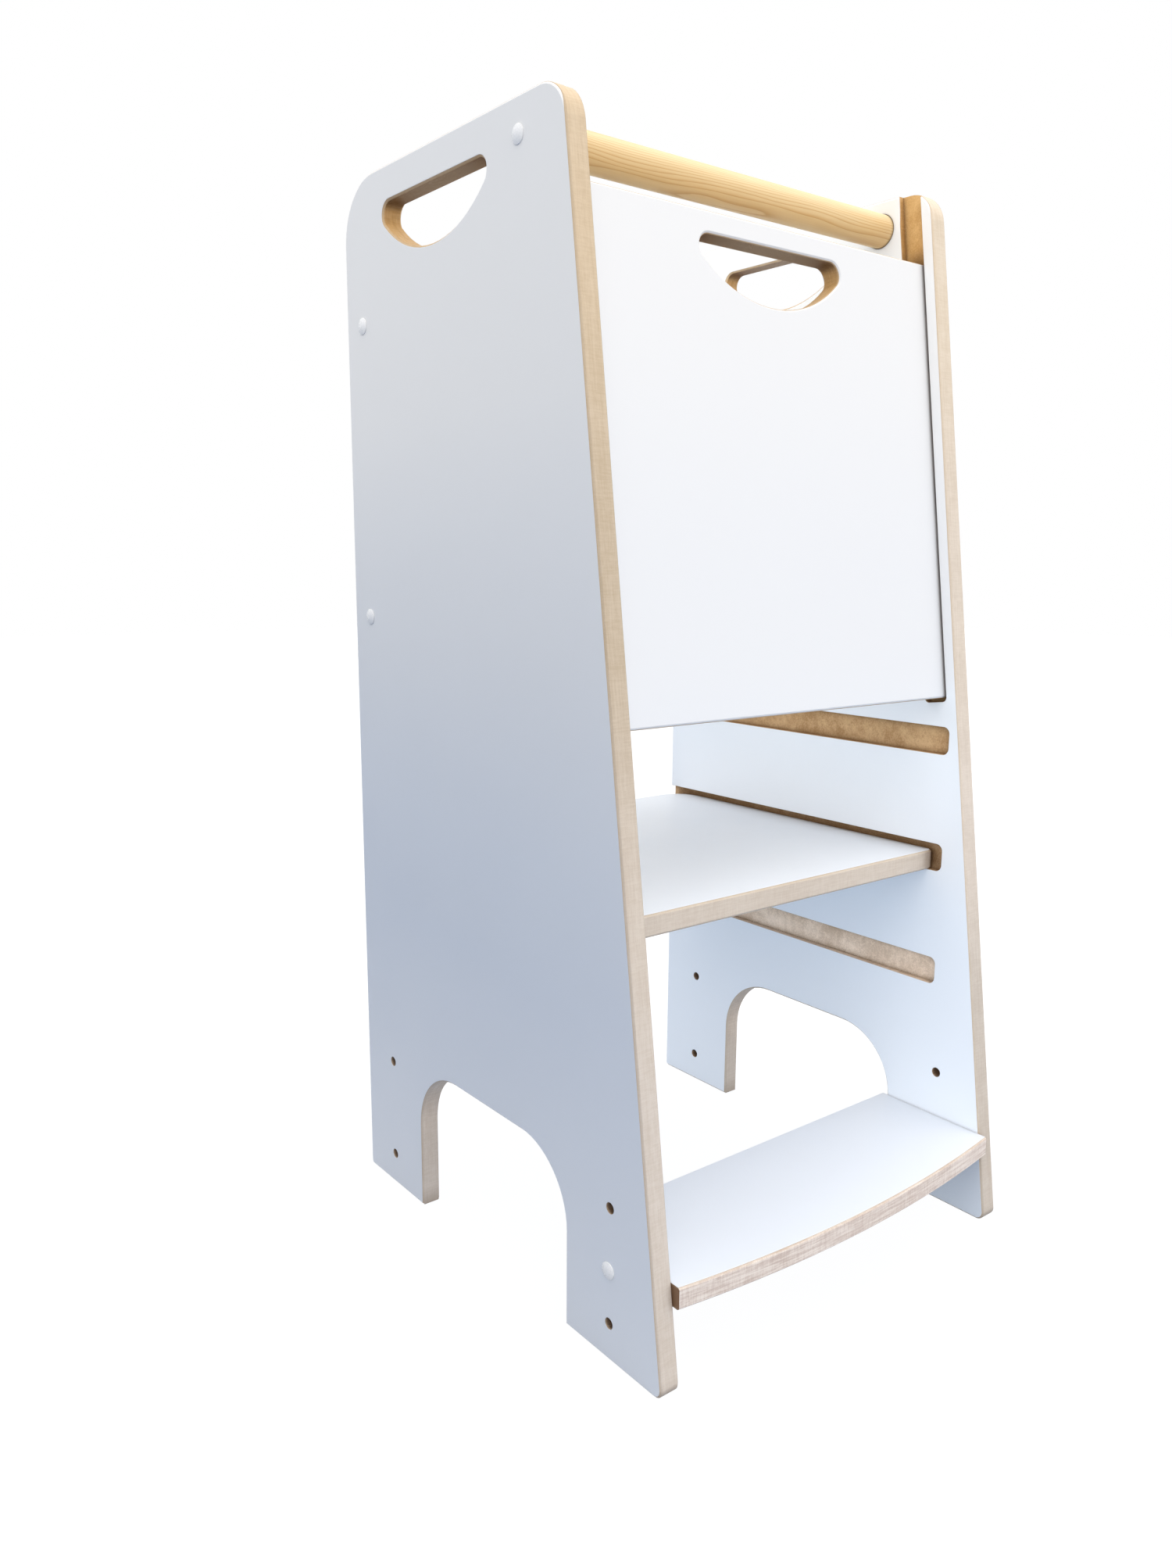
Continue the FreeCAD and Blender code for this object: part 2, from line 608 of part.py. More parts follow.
def guard_panel():
    """A board that drops into the raked grooves; drawn upright, then leaned back."""
    body = new_body("guard_panel")
    outline = sketch_on(body, "guard_outline", "XZ_Plane")
    rounded_outline(outline, "guard", [
        ("-Places.loose_half_width", "0", "Sizes.guard_corner"),
        ("Places.loose_half_width", "0", "Sizes.guard_corner"),
        ("Places.loose_half_width", "Sizes.guard_height", "Sizes.guard_corner"),
        ("-Places.loose_half_width", "Sizes.guard_height", "Sizes.guard_corner"),
    ])
    hand_hole(outline, "0", "Sizes.guard_height - Sizes.guard_handle_drop")
    pad(body, outline, "Sizes.board", backwards=True)
    faces = (0, size("Sizes.board"))
    ease(body, "Sizes.arris", lambda edge: any(lies_at(edge, "Y", face) for face in faces))
    body.Placement = FreeCAD.Placement(V(0, 0, 0), FreeCAD.Rotation(V(-1, 0, 0), 1))
    body.setExpression("Placement.Rotation.Angle", "Places.lean")
    put(body, "0", "Places.rear_y + " + rake_y("Places.guard_foot", "Places.guard_front"),
        rake_z("Places.guard_foot", "Places.guard_front"))


# ------------------------------------------------------------------ fastenings
# Each is turned about its own X axis, drawn for the right side and faced about for the left.

def face(body, side, x, y, z):
    """Set a fastening at a side panel, its outer end away from the middle."""
    turn = 0 if side > 0 else 180
    body.Placement = FreeCAD.Placement(V(0, 0, 0), FreeCAD.Rotation(V(0, 0, 1), turn))
    put(body, f"{side} * ({x})", f"Places.rear_y + {y}", z)


def half_profile(body, corners):
    """A turned piece from its half profile of (along the axis, radius) corners."""
    sketch = sketch_on(body, f"{body.Name}_profile", "XY_Plane")
    rounded_outline(sketch, "turn", [(along, radius, None) for along, radius in corners])
    return sketch


def screw(name, side, y, z, pair=None):
    """A connector screw; its head's outer end is at its own origin."""
    body = new_body(name)
    shank_end = "-(Sizes.board - Sizes.screw_sink)"
    profile = half_profile(body, [
        ("0", "0"),
        ("-Sizes.screw_length", "0"),
        ("-Sizes.screw_length", "Sizes.screw_core / 2"),
        (shank_end, "Sizes.screw_core / 2"),
        (shank_end + " + Sizes.screw_clearance", "Sizes.screw_shank / 2"),
        ("-Sizes.screw_head_height", "Sizes.screw_shank / 2"),
        ("-Sizes.screw_head_height", "Sizes.screw_head / 2"),
        ("0", "Sizes.screw_head / 2"),
    ])
    turned = revolve(body, profile)
    socket = sketch_on(body, f"{name}_socket", "YZ_Plane")
    corner = "Sizes.screw_socket / sqrt(3)"
    rounded_outline(socket, "hexagon", [
        (f"{corner} * cos({60 * i} deg)", f"{corner} * sin({60 * i} deg)", None)
        for i in range(6)])
    cut = pocket(body, socket, "Sizes.screw_socket_depth", along_normal=False)
    if pair:
        repeat(body, [turned, cut], *pair)
    face(body, side, "Places.outer_face - Sizes.screw_sink", y, z)


def cap(name, side, y, z, pair=None):
    """A domed cap with a short pin; the underside of its rim is at its own origin."""
    body = new_body(name)
    sketch = sketch_on(body, f"{name}_profile", "XY_Plane")
    rim, pin = size("Sizes.cap_diameter") / 2, size("Sizes.cap_pin") / 2
    wall, top = size("Sizes.cap_rim"), size("Sizes.cap_height")
    deep = -size("Sizes.cap_pin_length")
    dome = (rim ** 2 + (top - wall) ** 2) / (2 * (top - wall))
    corners = [(top, 0), (deep, 0), (deep, pin), (0, pin), (0, rim), (wall, rim)]
    runs = [draw_line(sketch, *ends) for ends in zip(corners, corners[1:])]
    circle = Part.Circle(V(top - dome, 0, 0), V(0, 0, 1), dome)
    arc = sketch.addGeometry(Part.ArcOfCircle(circle, 0, math.asin(rim / dome)), False)
    ties = [Sketcher.Constraint("Coincident", a, 2, b, 1) for a, b in zip(runs, runs[1:])]
    ties.append(Sketcher.Constraint("Coincident", runs[-1], 2, arc, 2))
    ties.append(Sketcher.Constraint("Coincident", runs[0], 1, arc, 1))
    ties.append(Sketcher.Constraint("PointOnObject", arc, 3, -1))
    sketch.addConstraint(ties)
    fix_point(sketch, "top", runs[0], 1, "Sizes.cap_height", "0")
    named = (("pin_end", "-Sizes.cap_pin_length", "0"),
             ("pin_side", "-Sizes.cap_pin_length", "Sizes.cap_pin / 2"),
             ("pin_root", "0", "Sizes.cap_pin / 2"),
             ("rim_under", "0", "Sizes.cap_diameter / 2"))
    for run, (label, along, radius) in zip(runs[1:], named):
        fix_point(sketch, label, run, 1, along, radius)
    fix_point(sketch, "rim_top", runs[-1], 2, "Sizes.cap_rim", "Sizes.cap_diameter / 2")
    turned = revolve(body, sketch)
    if pair:
        repeat(body, [turned], *pair)
    face(body, side, "Places.outer_face", y, z)


def dowels(name, side, y, z, axis, spread):
    """Two plain pins, part in the side panel and part in a board's end."""
    body = new_body(name)
    inner = "Sizes.dowel_seat - Sizes.dowel_length"
    turned = revolve(body, half_profile(body, [
        ("Sizes.dowel_seat", "0"),
        (inner, "0"),
        (inner, "Sizes.dowel_diameter / 2"),
        ("Sizes.dowel_seat", "Sizes.dowel_diameter / 2"),
    ]))
    repeat(body, [turned], axis, spread)
    face(body, side, "Places.inner_face", y, z)


def fastenings(name, side):
    """Everything that holds the boards to one side panel."""
    across = "-" if side > 0 else "+"
    back_pair = ("Z", "Places.back_fix_high - Places.back_fix_low")
    for kind, one, two in ((screw, "screw", "screws"), (cap, "cap", "caps")):
        kind(f"handrail_{one}_{name}", side, "Places.rail_y", "Places.rail_z")
        kind(f"back_panel_{two}_{name}", side, "Places.back_middle_y", "Places.back_fix_low",
             back_pair)
        kind(f"step_{one}_{name}", side, "Places.step_fix_y", "Places.step_fix_z")
    dowels(f"step_dowels_{name}", side,
           f"Places.step_fix_y {across} Sizes.step_dowel_spread / 2", "Places.step_fix_z",
           "Y", "Sizes.step_dowel_spread")
    dowels(f"back_panel_dowels_{name}", side, "Places.back_middle_y", "Places.back_dowel_low",
           "Z", "Places.back_dowel_high - Places.back_dowel_low")


# ------------------------------------------------------------------ build, check and write

for side_name, side_way in SIDES:
    side_panel(side_name, side_way)
back_panel()
step_board()
handrail()
standing_platform()
guard_panel()
for side_name, side_way in SIDES:
    fastenings(side_name, side_way)
DOC.recompute()

for item in DOC.Objects:
    if "Invalid" in item.State or "Error" in item.State:
        raise RuntimeError(f"{item.Name} did not build: {item.State}")
for body in made:
    if body.Shape.isNull() or not body.Shape.isValid() or not body.Shape.Solids:
        raise RuntimeError(f"{body.Label} is not a sound solid")

os.makedirs("parts", exist_ok=True)
for body in made:
    body.Shape.exportStep(f"parts/{body.Label}.step")
    solids = len(body.Shape.Solids)
    print(f"{body.Label}: {solids} solid(s), {body.Shape.Volume / 1000:.1f} cm3")
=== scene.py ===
# %% [markdown]
# # A standing tower for a small child
#
# The real object is a flat-pack tower: white-faced boards with clear-lacquered raw edges, one
# turned pine rail, white push caps over the screws. Nearly all of its look is in three things:
# how crisp the line is between white face and raw edge, how the edge looks up close, and how the
# soft light falls across large plain faces. So the lesson spends its time on those.
#
# The solids come in from the frame at their real size. Blender only dresses them.

# %% Load the frame
import json
import math

import bpy
from mathutils import Matrix, Vector


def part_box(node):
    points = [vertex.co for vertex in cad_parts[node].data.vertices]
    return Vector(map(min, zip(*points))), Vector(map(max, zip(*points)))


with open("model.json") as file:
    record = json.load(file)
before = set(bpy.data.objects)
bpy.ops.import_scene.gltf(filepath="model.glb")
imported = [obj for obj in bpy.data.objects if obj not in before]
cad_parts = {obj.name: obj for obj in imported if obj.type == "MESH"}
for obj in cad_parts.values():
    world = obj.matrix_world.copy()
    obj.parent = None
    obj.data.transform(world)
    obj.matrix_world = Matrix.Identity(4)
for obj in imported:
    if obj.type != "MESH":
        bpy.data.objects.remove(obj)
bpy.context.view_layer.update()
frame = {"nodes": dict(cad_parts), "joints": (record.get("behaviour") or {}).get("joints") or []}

nodes = frame["nodes"]
print("pieces in the frame:", len(nodes))

# %% [markdown]
# ## The camera
#
# The picture was taken by a person who stood in front of the tower, a little to its left, and
# held the camera a little above the middle of it. The place, heading and focal length below are
# the ones at which straight edges of known length (the 18 mm boards, the 411 mm width, the
# 910 mm height) land where the picture has them. A camera could also be aimed with a tracking
# constraint, but a plain rotation keeps the small roll of a hand-held picture.

# %% Camera
PICTURE_HEIGHT = 2006
FOCAL_PIXELS = 1516.6
SENSOR = 36.0
CAMERA_PLACE = Vector((-0.7130, -0.7730, 0.5934))
CAMERA_HEADING = math.radians(37.889)
CAMERA_DIP = math.radians(10.620)
CAMERA_ROLL = math.radians(0.337)

view = Vector((math.sin(CAMERA_HEADING) * math.cos(CAMERA_DIP),
               math.cos(CAMERA_HEADING) * math.cos(CAMERA_DIP),
               -math.sin(CAMERA_DIP)))
level_right = Vector((math.cos(CAMERA_HEADING), -math.sin(CAMERA_HEADING), 0))
level_up = level_right.cross(view)
right = level_right * math.cos(CAMERA_ROLL) + level_up * math.sin(CAMERA_ROLL)
up = level_up * math.cos(CAMERA_ROLL) - level_right * math.sin(CAMERA_ROLL)

camera_data = bpy.data.cameras.new("picture_camera")
camera_data.sensor_fit = "AUTO"
camera_data.sensor_width = SENSOR
camera_data.lens = FOCAL_PIXELS / PICTURE_HEIGHT * SENSOR
camera = bpy.data.objects.new("picture_camera", camera_data)
bpy.context.scene.collection.objects.link(camera)
turn = Matrix((right, up, -view)).transposed()
camera.matrix_world = Matrix.Translation(CAMERA_PLACE) @ turn.to_4x4()
bpy.context.scene.camera = camera
print("lens, millimetres:", round(camera_data.lens, 2))

# %% [markdown]
# ## Light
#
# The real tower stood in a pale room. Such a room gives more light from some sides than from
# others: most from the ceiling, much from the front, where it is warm, and less from the left,
# the right and the rear. Five soft lobes of colour, one per side and one for the ceiling,
# describe the room without a picture of it. Each lobe is the squared cosine to its side. The
# squared cosines of the three axes always add up to one, so the lobes blend without a seam.
#
# A shader is a tree of nodes joined by links. The three helpers below make the joins that come
# up again and again: a link, a step of vector arithmetic, and a step of plain arithmetic.

# %% Helpers for node trees
def link(tree, source, target):
    """Join two sockets of a node tree."""
    tree.links.new(source, target)


def vector_maths(tree, operation, *values):
    """One Vector Math node; each value is a vector, a number or a socket."""
    node = tree.nodes.new("ShaderNodeVectorMath")
    node.operation = operation
    for slot, value in enumerate(values):
        if isinstance(value, bpy.types.NodeSocket):
            link(tree, value, node.inputs[slot])
        else:
            node.inputs[slot].default_value = value
    return node


def maths(tree, operation, *values):
    """One Math node; each value is a number or a socket."""
    node = tree.nodes.new("ShaderNodeMath")
    node.operation = operation
    for slot, value in enumerate(values):
        if isinstance(value, bpy.types.NodeSocket):
            link(tree, value, node.inputs[slot])
        else:
            node.inputs[slot].default_value = value
    return node.outputs[0]


print("helpers:", link.__name__, vector_maths.__name__, maths.__name__)

# %% [markdown]
# Now the five lobes are added up into the light of the room. A dot product gives how far the
# direction of a ray leans to one side, and squaring it makes the lobe.

# %% The room's light
ROOM = {
    "left": ((-1, 0, 0), (0.75, 0.75, 0.75)),
    "right": ((1, 0, 0), (0.50, 0.50, 0.50)),
    "front": ((0, -1, 0), (1.66, 1.56, 1.46)),
    "rear": ((0, 1, 0), (0.50, 0.50, 0.50)),
    "ceiling": ((0, 0, 1), (2.38, 2.38, 2.38)),
}

scene = bpy.context.scene
scene.view_settings.view_transform = "Standard"
world = bpy.data.worlds.new("pale_room")
scene.world = world
world.use_nodes = True
tree = world.node_tree
tree.nodes.clear()
heading = tree.nodes.new("ShaderNodeTexCoord").outputs["Generated"]
total = None
for side, (way, colour) in ROOM.items():
    lobe = maths(tree, "MAXIMUM", vector_maths(tree, "DOT_PRODUCT", heading, way).outputs["Value"],
                 0.0)
    tint = vector_maths(tree, "SCALE", colour)
    tint.name = f"room_{side}"
    link(tree, maths(tree, "MULTIPLY", lobe, lobe), tint.inputs["Scale"])
    total = tint.outputs[0] if total is None else \
        vector_maths(tree, "ADD", total, tint.outputs[0]).outputs[0]
felt = tree.nodes.new("ShaderNodeBackground")
link(tree, total, felt.inputs["Color"])
print("sides of the room:", list(ROOM))

# %% [markdown]
# The camera and the reflections see plain white instead of the room. The Light Path node tells
# the kinds of ray apart, so a white background costs no extra exposure.

# %% White behind the tower
seen = tree.nodes.new("ShaderNodeBackground")
seen.inputs["Color"].default_value = (1, 1, 1, 1)
path = tree.nodes.new("ShaderNodeLightPath")
looks = maths(tree, "MAXIMUM", path.outputs["Is Camera Ray"], path.outputs["Is Glossy Ray"])
looks = maths(tree, "MAXIMUM", looks, path.outputs["Is Transmission Ray"])
mix = tree.nodes.new("ShaderNodeMixShader")
link(tree, looks, mix.inputs[0])
link(tree, felt.outputs[0], mix.inputs[1])
link(tree, seen.outputs[0], mix.inputs[2])
sky = tree.nodes.new("ShaderNodeOutputWorld")
link(tree, mix.outputs[0], sky.inputs["Surface"])
print("nodes in the room's light:", len(tree.nodes))

# %% [markdown]
# A dim bluish card stands upright a little way off on the left. It takes light away from the
# middle of the near side panel, as a photographer's flag does, so that the panel runs from a warm
# grey above to a cool one below. The same could be done by dimming the room on that side, but
# then the inside would go grey too. Two visibility switches keep the card out of the picture and
# out of reflections.

# %% Card beside the tower
CARD_X = -0.56
CARD_Y = (-0.42, 0.75)
CARD_Z = (0.26, 0.68)
CARD_COLOUR = (0.26, 0.32, 0.42)


def empty_material(name):
    """A material with nothing in it yet, and its node tree."""
    material = bpy.data.materials.new(name)
    material.use_nodes = True
    material.node_tree.nodes.clear()
    return material, material.node_tree


def staged_sheet(name, corners, material):
    """A flat sheet that belongs to the stage and not to the part."""
    mesh = bpy.data.meshes.new(name)
    mesh.from_pydata(corners, [], [(0, 1, 2, 3)])
    mesh.materials.append(material)
    sheet = bpy.data.objects.new(name, mesh)
    scene.collection.objects.link(sheet)
    return sheet


card_material, tree = empty_material("dim_card")
matt = tree.nodes.new("ShaderNodeBsdfDiffuse")
matt.inputs["Color"].default_value = (*CARD_COLOUR, 1)
out = tree.nodes.new("ShaderNodeOutputMaterial")
link(tree, matt.outputs[0], out.inputs["Surface"])

card_outline = [(CARD_Y[0], CARD_Z[0]), (CARD_Y[1], CARD_Z[0]),
                (CARD_Y[1], CARD_Z[1]), (CARD_Y[0], CARD_Z[1])]
card = staged_sheet("card", [(CARD_X, y, z) for y, z in card_outline], card_material)
card.visible_camera = False
card.visible_glossy = False
print("card, metres:", [round(size, 2) for size in card.dimensions])

# %% [markdown]
# Two lamps shine on the right side panel alone: a broad warm one for its upper half and a
# smaller cool one low down, because the inside of the tower glows more than the room alone would
# make it. Small lamps would draw hard shadows, so both are half a metre wide or more.
#
# The near panel and the card would stand in their way. Light linking takes those two out of the
# lamps' shadows, as a photographer would light the two sides in two exposures and lay them
# together.

# %% Lamps
INSIDE_LAMPS = {
    "inside_high": dict(place=(-1.7, -0.1, 0.75), aim=(0.19, 0, 0.45), width=1.2, watts=11,
                        colour=(1, 0.89, 0.77)),
    "inside_low": dict(place=(-1.7, 0.05, 0.22), aim=(0.19, 0.05, 0.22), width=0.5, watts=6.2,
                       colour=(0.48, 0.78, 1)),
}


def soft_lamp(name, place, aim, width, watts, colour):
    """A square area lamp that looks at a point and isn't seen itself."""
    data = bpy.data.lights.new(name, "AREA")
    data.shape = "SQUARE"
    data.size = width
    data.energy = watts
    data.color = colour
    lamp = bpy.data.objects.new(name, data)
    scene.collection.objects.link(lamp)
    away = Vector(place) - Vector(aim)
    lamp.rotation_euler = away.to_track_quat("Z", "Y").to_euler()
    lamp.location = place
    lamp.visible_camera = False
    return lamp


lit = bpy.data.collections.new("lit_from_inside")
lit.objects.link(nodes["side_panel_right"])
passed = bpy.data.collections.new("let_through")
for thing in (nodes["side_panel_left"], card):
    passed.objects.link(thing)
for entry in passed.collection_objects:
    entry.light_linking.link_state = "EXCLUDE"
for name, settings in INSIDE_LAMPS.items():
    lamp = soft_lamp(name, **settings)
    lamp.light_linking.receiver_collection = lit
    lamp.light_linking.blocker_collection = passed

# %% [markdown]
# ## The floor
#
# The floor is one large sheet. Near the tower a small share of it is a diffuse surface, which
# takes a soft shadow, and the rest is plain white. Further out it fades to plain white only, so
# that no horizon shows. The fade follows the distance from the middle of the floor, which stays
# put when the camera moves.
#
# All other rays meet the diffuse surface alone. Its colour is deep and a little blue, because it
# also sends light up to the undersides and into the low parts of the tower.

# %% Floor
FLOOR_HALF = 9.0
FLOOR_COLOUR = (0.23, 0.28, 0.37)
WHITE_STRENGTH = 1.12
FADE_FROM, FADE_TO = 0.2, 0.62
SHADOW_SHARE = 0.13


def ramp(tree, value, low, high, at_low=0.0, at_high=1.0):
    """A smooth step of a value between two limits."""
    node = tree.nodes.new("ShaderNodeMapRange")
    node.interpolation_type = "SMOOTHSTEP"
    for socket, number in (("From Min", low), ("From Max", high), ("To Min", at_low),
                           ("To Max", at_high)):
        node.inputs[socket].default_value = number
    link(tree, value, node.inputs["Value"])
    return node.outputs["Result"]


floor_material, tree = empty_material("pale_floor")
matt = tree.nodes.new("ShaderNodeBsdfDiffuse")
matt.inputs["Color"].default_value = (*FLOOR_COLOUR, 1)
white = tree.nodes.new("ShaderNodeEmission")
white.inputs["Color"].default_value = (1, 1, 1, 1)
white.inputs["Strength"].default_value = WHITE_STRENGTH
where = tree.nodes.new("ShaderNodeNewGeometry")
far = vector_maths(tree, "LENGTH", where.outputs["Position"]).outputs["Value"]
fade = ramp(tree, far, FADE_FROM, FADE_TO, 1 - SHADOW_SHARE, 1.0)
path = tree.nodes.new("ShaderNodeLightPath")
looks = maths(tree, "MAXIMUM", path.outputs["Is Camera Ray"], path.outputs["Is Glossy Ray"])
mix = tree.nodes.new("ShaderNodeMixShader")
out = tree.nodes.new("ShaderNodeOutputMaterial")
link(tree, maths(tree, "MULTIPLY", fade, looks), mix.inputs[0])
link(tree, matt.outputs[0], mix.inputs[1])
link(tree, white.outputs[0], mix.inputs[2])
link(tree, mix.outputs[0], out.inputs["Surface"])

square = [(-1, -1), (1, -1), (1, 1), (-1, 1)]
floor = staged_sheet("floor", [(x * FLOOR_HALF, y * FLOOR_HALF, 0) for x, y in square],
                     floor_material)
print("floor, metres across:", round(floor.dimensions.x, 1))

# %% [markdown]
# ## How each board lies
#
# One recipe dresses all six boards: white where the surface is one of the two faces, raw board
# everywhere else, so in grooves, round the arrises and inside the hand holes. For that, a board
# needs to know its own middle plane. It is measured from the piece itself: the direction across
# the board, and the lowest and highest points along it.

# %% Measure the boards
lift = next(joint for joint in frame["joints"] if joint["name"] == "guard_lift")
up_the_rake = Vector(lift["axis"]).normalized()
across_the_rake = Vector((0, up_the_rake.z, -up_the_rake.y))

BOARD_AXES = {
    "side_panel_left": Vector((1, 0, 0)),
    "side_panel_right": Vector((1, 0, 0)),
    "back_panel": Vector((0, 1, 0)),
    "guard_panel": across_the_rake,
    "standing_platform": Vector((0, 0, 1)),
    "step_board": Vector((0, 0, 1)),
}


def middle_and_half(name):
    """Where a board's middle plane lies along its axis, and half of its thickness."""
    reach = [BOARD_AXES[name].dot(v.co) for v in nodes[name].data.vertices]
    return (min(reach) + max(reach)) / 2, (max(reach) - min(reach)) / 2


board_planes = {name: middle_and_half(name) for name in BOARD_AXES}
for name, (middle, half) in board_planes.items():
    print(f"{name}: middle {1000 * middle:.2f} mm, {2000 * half:.2f} mm thick")

# %% [markdown]
# ## Shader groups for the boards
#
# The first group sorts the surface of a board by depth below its two faces. It gives a mask for
# the thin white skin and one for the dark line where the skin ends, which is what makes a
# faced board look faced. Two more masks follow from the same depth: one fades over the rounded
# arris, where painted shade darkens a plain edge and painted light brightens a cut wall, and one
# finds the floors of the grooves, which lie deep in the board but still look the way its faces do.
# A group is made once and used by all six boards, so a change to it reaches them all.

# %% Group: faces of a board
SKIN = 0.00012
SKIN_EDGE = 0.00004
LINE = 0.00028
ARRIS = 0.0020
LEVEL_FROM, LEVEL_TO = 0.86, 0.96
DEEP_FROM, DEEP_TO = 2 * ARRIS, 2.2 * ARRIS


def new_group(name, inputs, outputs):
    """An empty shader group with named sockets; returns the tree and its two end nodes."""
    group = bpy.data.node_groups.new(name, "ShaderNodeTree")
    for socket, kind in inputs:
        group.interface.new_socket(socket, in_out="INPUT", socket_type=kind)
    for socket, kind in outputs:
        group.interface.new_socket(socket, in_out="OUTPUT", socket_type=kind)
    return group, group.nodes.new("NodeGroupInput"), group.nodes.new("NodeGroupOutput")


def dot(tree, first, second):
    """How far one vector reaches along another."""
    return vector_maths(tree, "DOT_PRODUCT", first, second).outputs["Value"]


FLOAT, VECTOR, COLOUR = "NodeSocketFloat", "NodeSocketVector", "NodeSocketColor"
faces_group, given, made = new_group(
    "faced_board_layers",
    [("Position", VECTOR), ("Normal", VECTOR), ("Axis", VECTOR), ("Middle", FLOAT),
     ("Half", FLOAT)],
    [("Skin", FLOAT), ("Line", FLOAT), ("Arris", FLOAT), ("Routed", FLOAT)])
along = dot(faces_group, given.outputs["Position"], given.outputs["Axis"])
offset = maths(faces_group, "SUBTRACT", along, given.outputs["Middle"])
depth = maths(faces_group, "SUBTRACT", given.outputs["Half"],
              maths(faces_group, "ABSOLUTE", offset))
skin = ramp(faces_group, depth, SKIN, SKIN + SKIN_EDGE, 1.0, 0.0)
below = ramp(faces_group, depth, SKIN, SKIN + SKIN_EDGE)
above = ramp(faces_group, depth, SKIN + LINE / 2, SKIN + LINE, 1.0, 0.0)
link(faces_group, skin, made.inputs["Skin"])
link(faces_group, maths(faces_group, "MULTIPLY", below, above), made.inputs["Line"])
link(faces_group, ramp(faces_group, depth, SKIN, ARRIS, 1.0, 0.0), made.inputs["Arris"])
facing = dot(faces_group, given.outputs["Normal"], given.outputs["Axis"])
level = ramp(faces_group, maths(faces_group, "ABSOLUTE", facing), LEVEL_FROM, LEVEL_TO)
deep = ramp(faces_group, depth, DEEP_FROM, DEEP_TO)
link(faces_group, maths(faces_group, "MULTIPLY", level, deep), made.inputs["Routed"])
print("masks of the faces group:", [socket.name for socket in made.inputs if socket.name])

# %% [markdown]
# The raw board is pressed fibre: nearly even in colour, with soft blotches, a fine fibre speck
# and faint bands that run with the faces, because a pressed board is denser near them. The bands
# come from noise that is squeezed along the board's axis, and the fine marks that the cutter
# leaves across the edge from noise that is drawn out along it. One vector scaled differently in
# each direction does both for every board, whichever way it lies.
#
# First come three helpers: noise, the scaling of a vector along one axis, and a mix of colours.

# %% Helpers for patterns
def noise(tree, vector, scale, detail=2.0, rough=0.5):
    """Fractal noise from 0 to 1."""
    node = tree.nodes.new("ShaderNodeTexNoise")
    node.inputs["Scale"].default_value = scale
    node.inputs["Detail"].default_value = detail
    node.inputs["Roughness"].default_value = rough
    link(tree, vector, node.inputs["Vector"])
    return node.outputs["Fac"]


def stretch_along(tree, position, axis, factor):
    """Position with its part along an axis made so many times longer."""
    longer = vector_maths(tree, "SCALE", axis)
    extra = maths(tree, "MULTIPLY", dot(tree, position, axis), factor)
    link(tree, extra, longer.inputs["Scale"])
    return vector_maths(tree, "ADD", position, longer.outputs[0]).outputs[0]


def blend_colours(tree, factor, first, second, kind="MIX"):
    """Mix two colours; each is a socket or three numbers."""
    node = tree.nodes.new("ShaderNodeMix")
    node.data_type = "RGBA"
    node.blend_type = kind
    if isinstance(factor, (int, float)):
        node.inputs["Factor"].default_value = factor
    else:
        link(tree, factor, node.inputs["Factor"])
    for socket, value in ((node.inputs[6], first), (node.inputs[7], second)):
        if isinstance(value, tuple):
            socket.default_value = (*value, 1)
        else:
            link(tree, value, socket)
    return node.outputs[2]


print("pattern helpers:", noise.__name__, stretch_along.__name__, blend_colours.__name__)

# %% [markdown]
# Each pattern has a scale and a share of the tone, and the shares are added up. How strong the
# bands are is an input of the group, so that the step can have plainer ones. Half of that
# strength is taken off again, which keeps the board as light as before when the bands change.

# %% Group: pressed fibre core
BAND_SQUEEZE, BAND_SCALE = 24, 22
CUTTER_SQUEEZE, CUTTER_SCALE = -0.88, 700
THREAD_SQUEEZE, THREAD_SCALE = 9, 120
BLOTCH_SCALE = 34
SPECK_SCALE = 1500
CUTTER_SHARE, THREAD_SHARE, BLOTCH_SHARE, SPECK_SHARE = 0.34, 0.30, 0.26, 0.16
TONE_FROM, TONE_TO = 0.35, 0.71
SPECK_RELIEF, BAND_RELIEF = 0.7, 0.3

fibre_group, given, made = new_group(
    "pressed_fibre",
    [("Position", VECTOR), ("Axis", VECTOR), ("Light", COLOUR), ("Dark", COLOUR),
     ("Bands", FLOAT)],
    [("Color", COLOUR), ("Height", FLOAT)])
position, axis = given.outputs["Position"], given.outputs["Axis"]
strength = given.outputs["Bands"]
bands = noise(fibre_group, stretch_along(fibre_group, position, axis, BAND_SQUEEZE),
              BAND_SCALE, 3)
cutter = noise(fibre_group, stretch_along(fibre_group, position, axis, CUTTER_SQUEEZE),
               CUTTER_SCALE, 2, 0.6)
threads = noise(fibre_group, stretch_along(fibre_group, position, axis, THREAD_SQUEEZE),
                THREAD_SCALE, 2, 0.6)
blotches = noise(fibre_group, position, BLOTCH_SCALE, 3)
specks = noise(fibre_group, position, SPECK_SCALE, 2, 0.6)
tone = 0.0
for part, share in ((bands, strength), (cutter, CUTTER_SHARE), (threads, THREAD_SHARE),
                    (blotches, BLOTCH_SHARE), (specks, SPECK_SHARE)):
    tone = maths(fibre_group, "ADD", maths(fibre_group, "MULTIPLY", part, share), tone)
middle_of_bands = maths(fibre_group, "MULTIPLY", strength, 0.5)
tone = maths(fibre_group, "SUBTRACT", tone, middle_of_bands)
tone = ramp(fibre_group, tone, TONE_FROM, TONE_TO)
link(fibre_group, blend_colours(fibre_group, tone, given.outputs["Light"],
                                given.outputs["Dark"]), made.inputs["Color"])
link(fibre_group, maths(fibre_group, "ADD", maths(fibre_group, "MULTIPLY", specks, SPECK_RELIEF),
                        maths(fibre_group, "MULTIPLY", bands, BAND_RELIEF)),
     made.inputs["Height"])
print("nodes in the fibre group:", len(fibre_group.nodes))
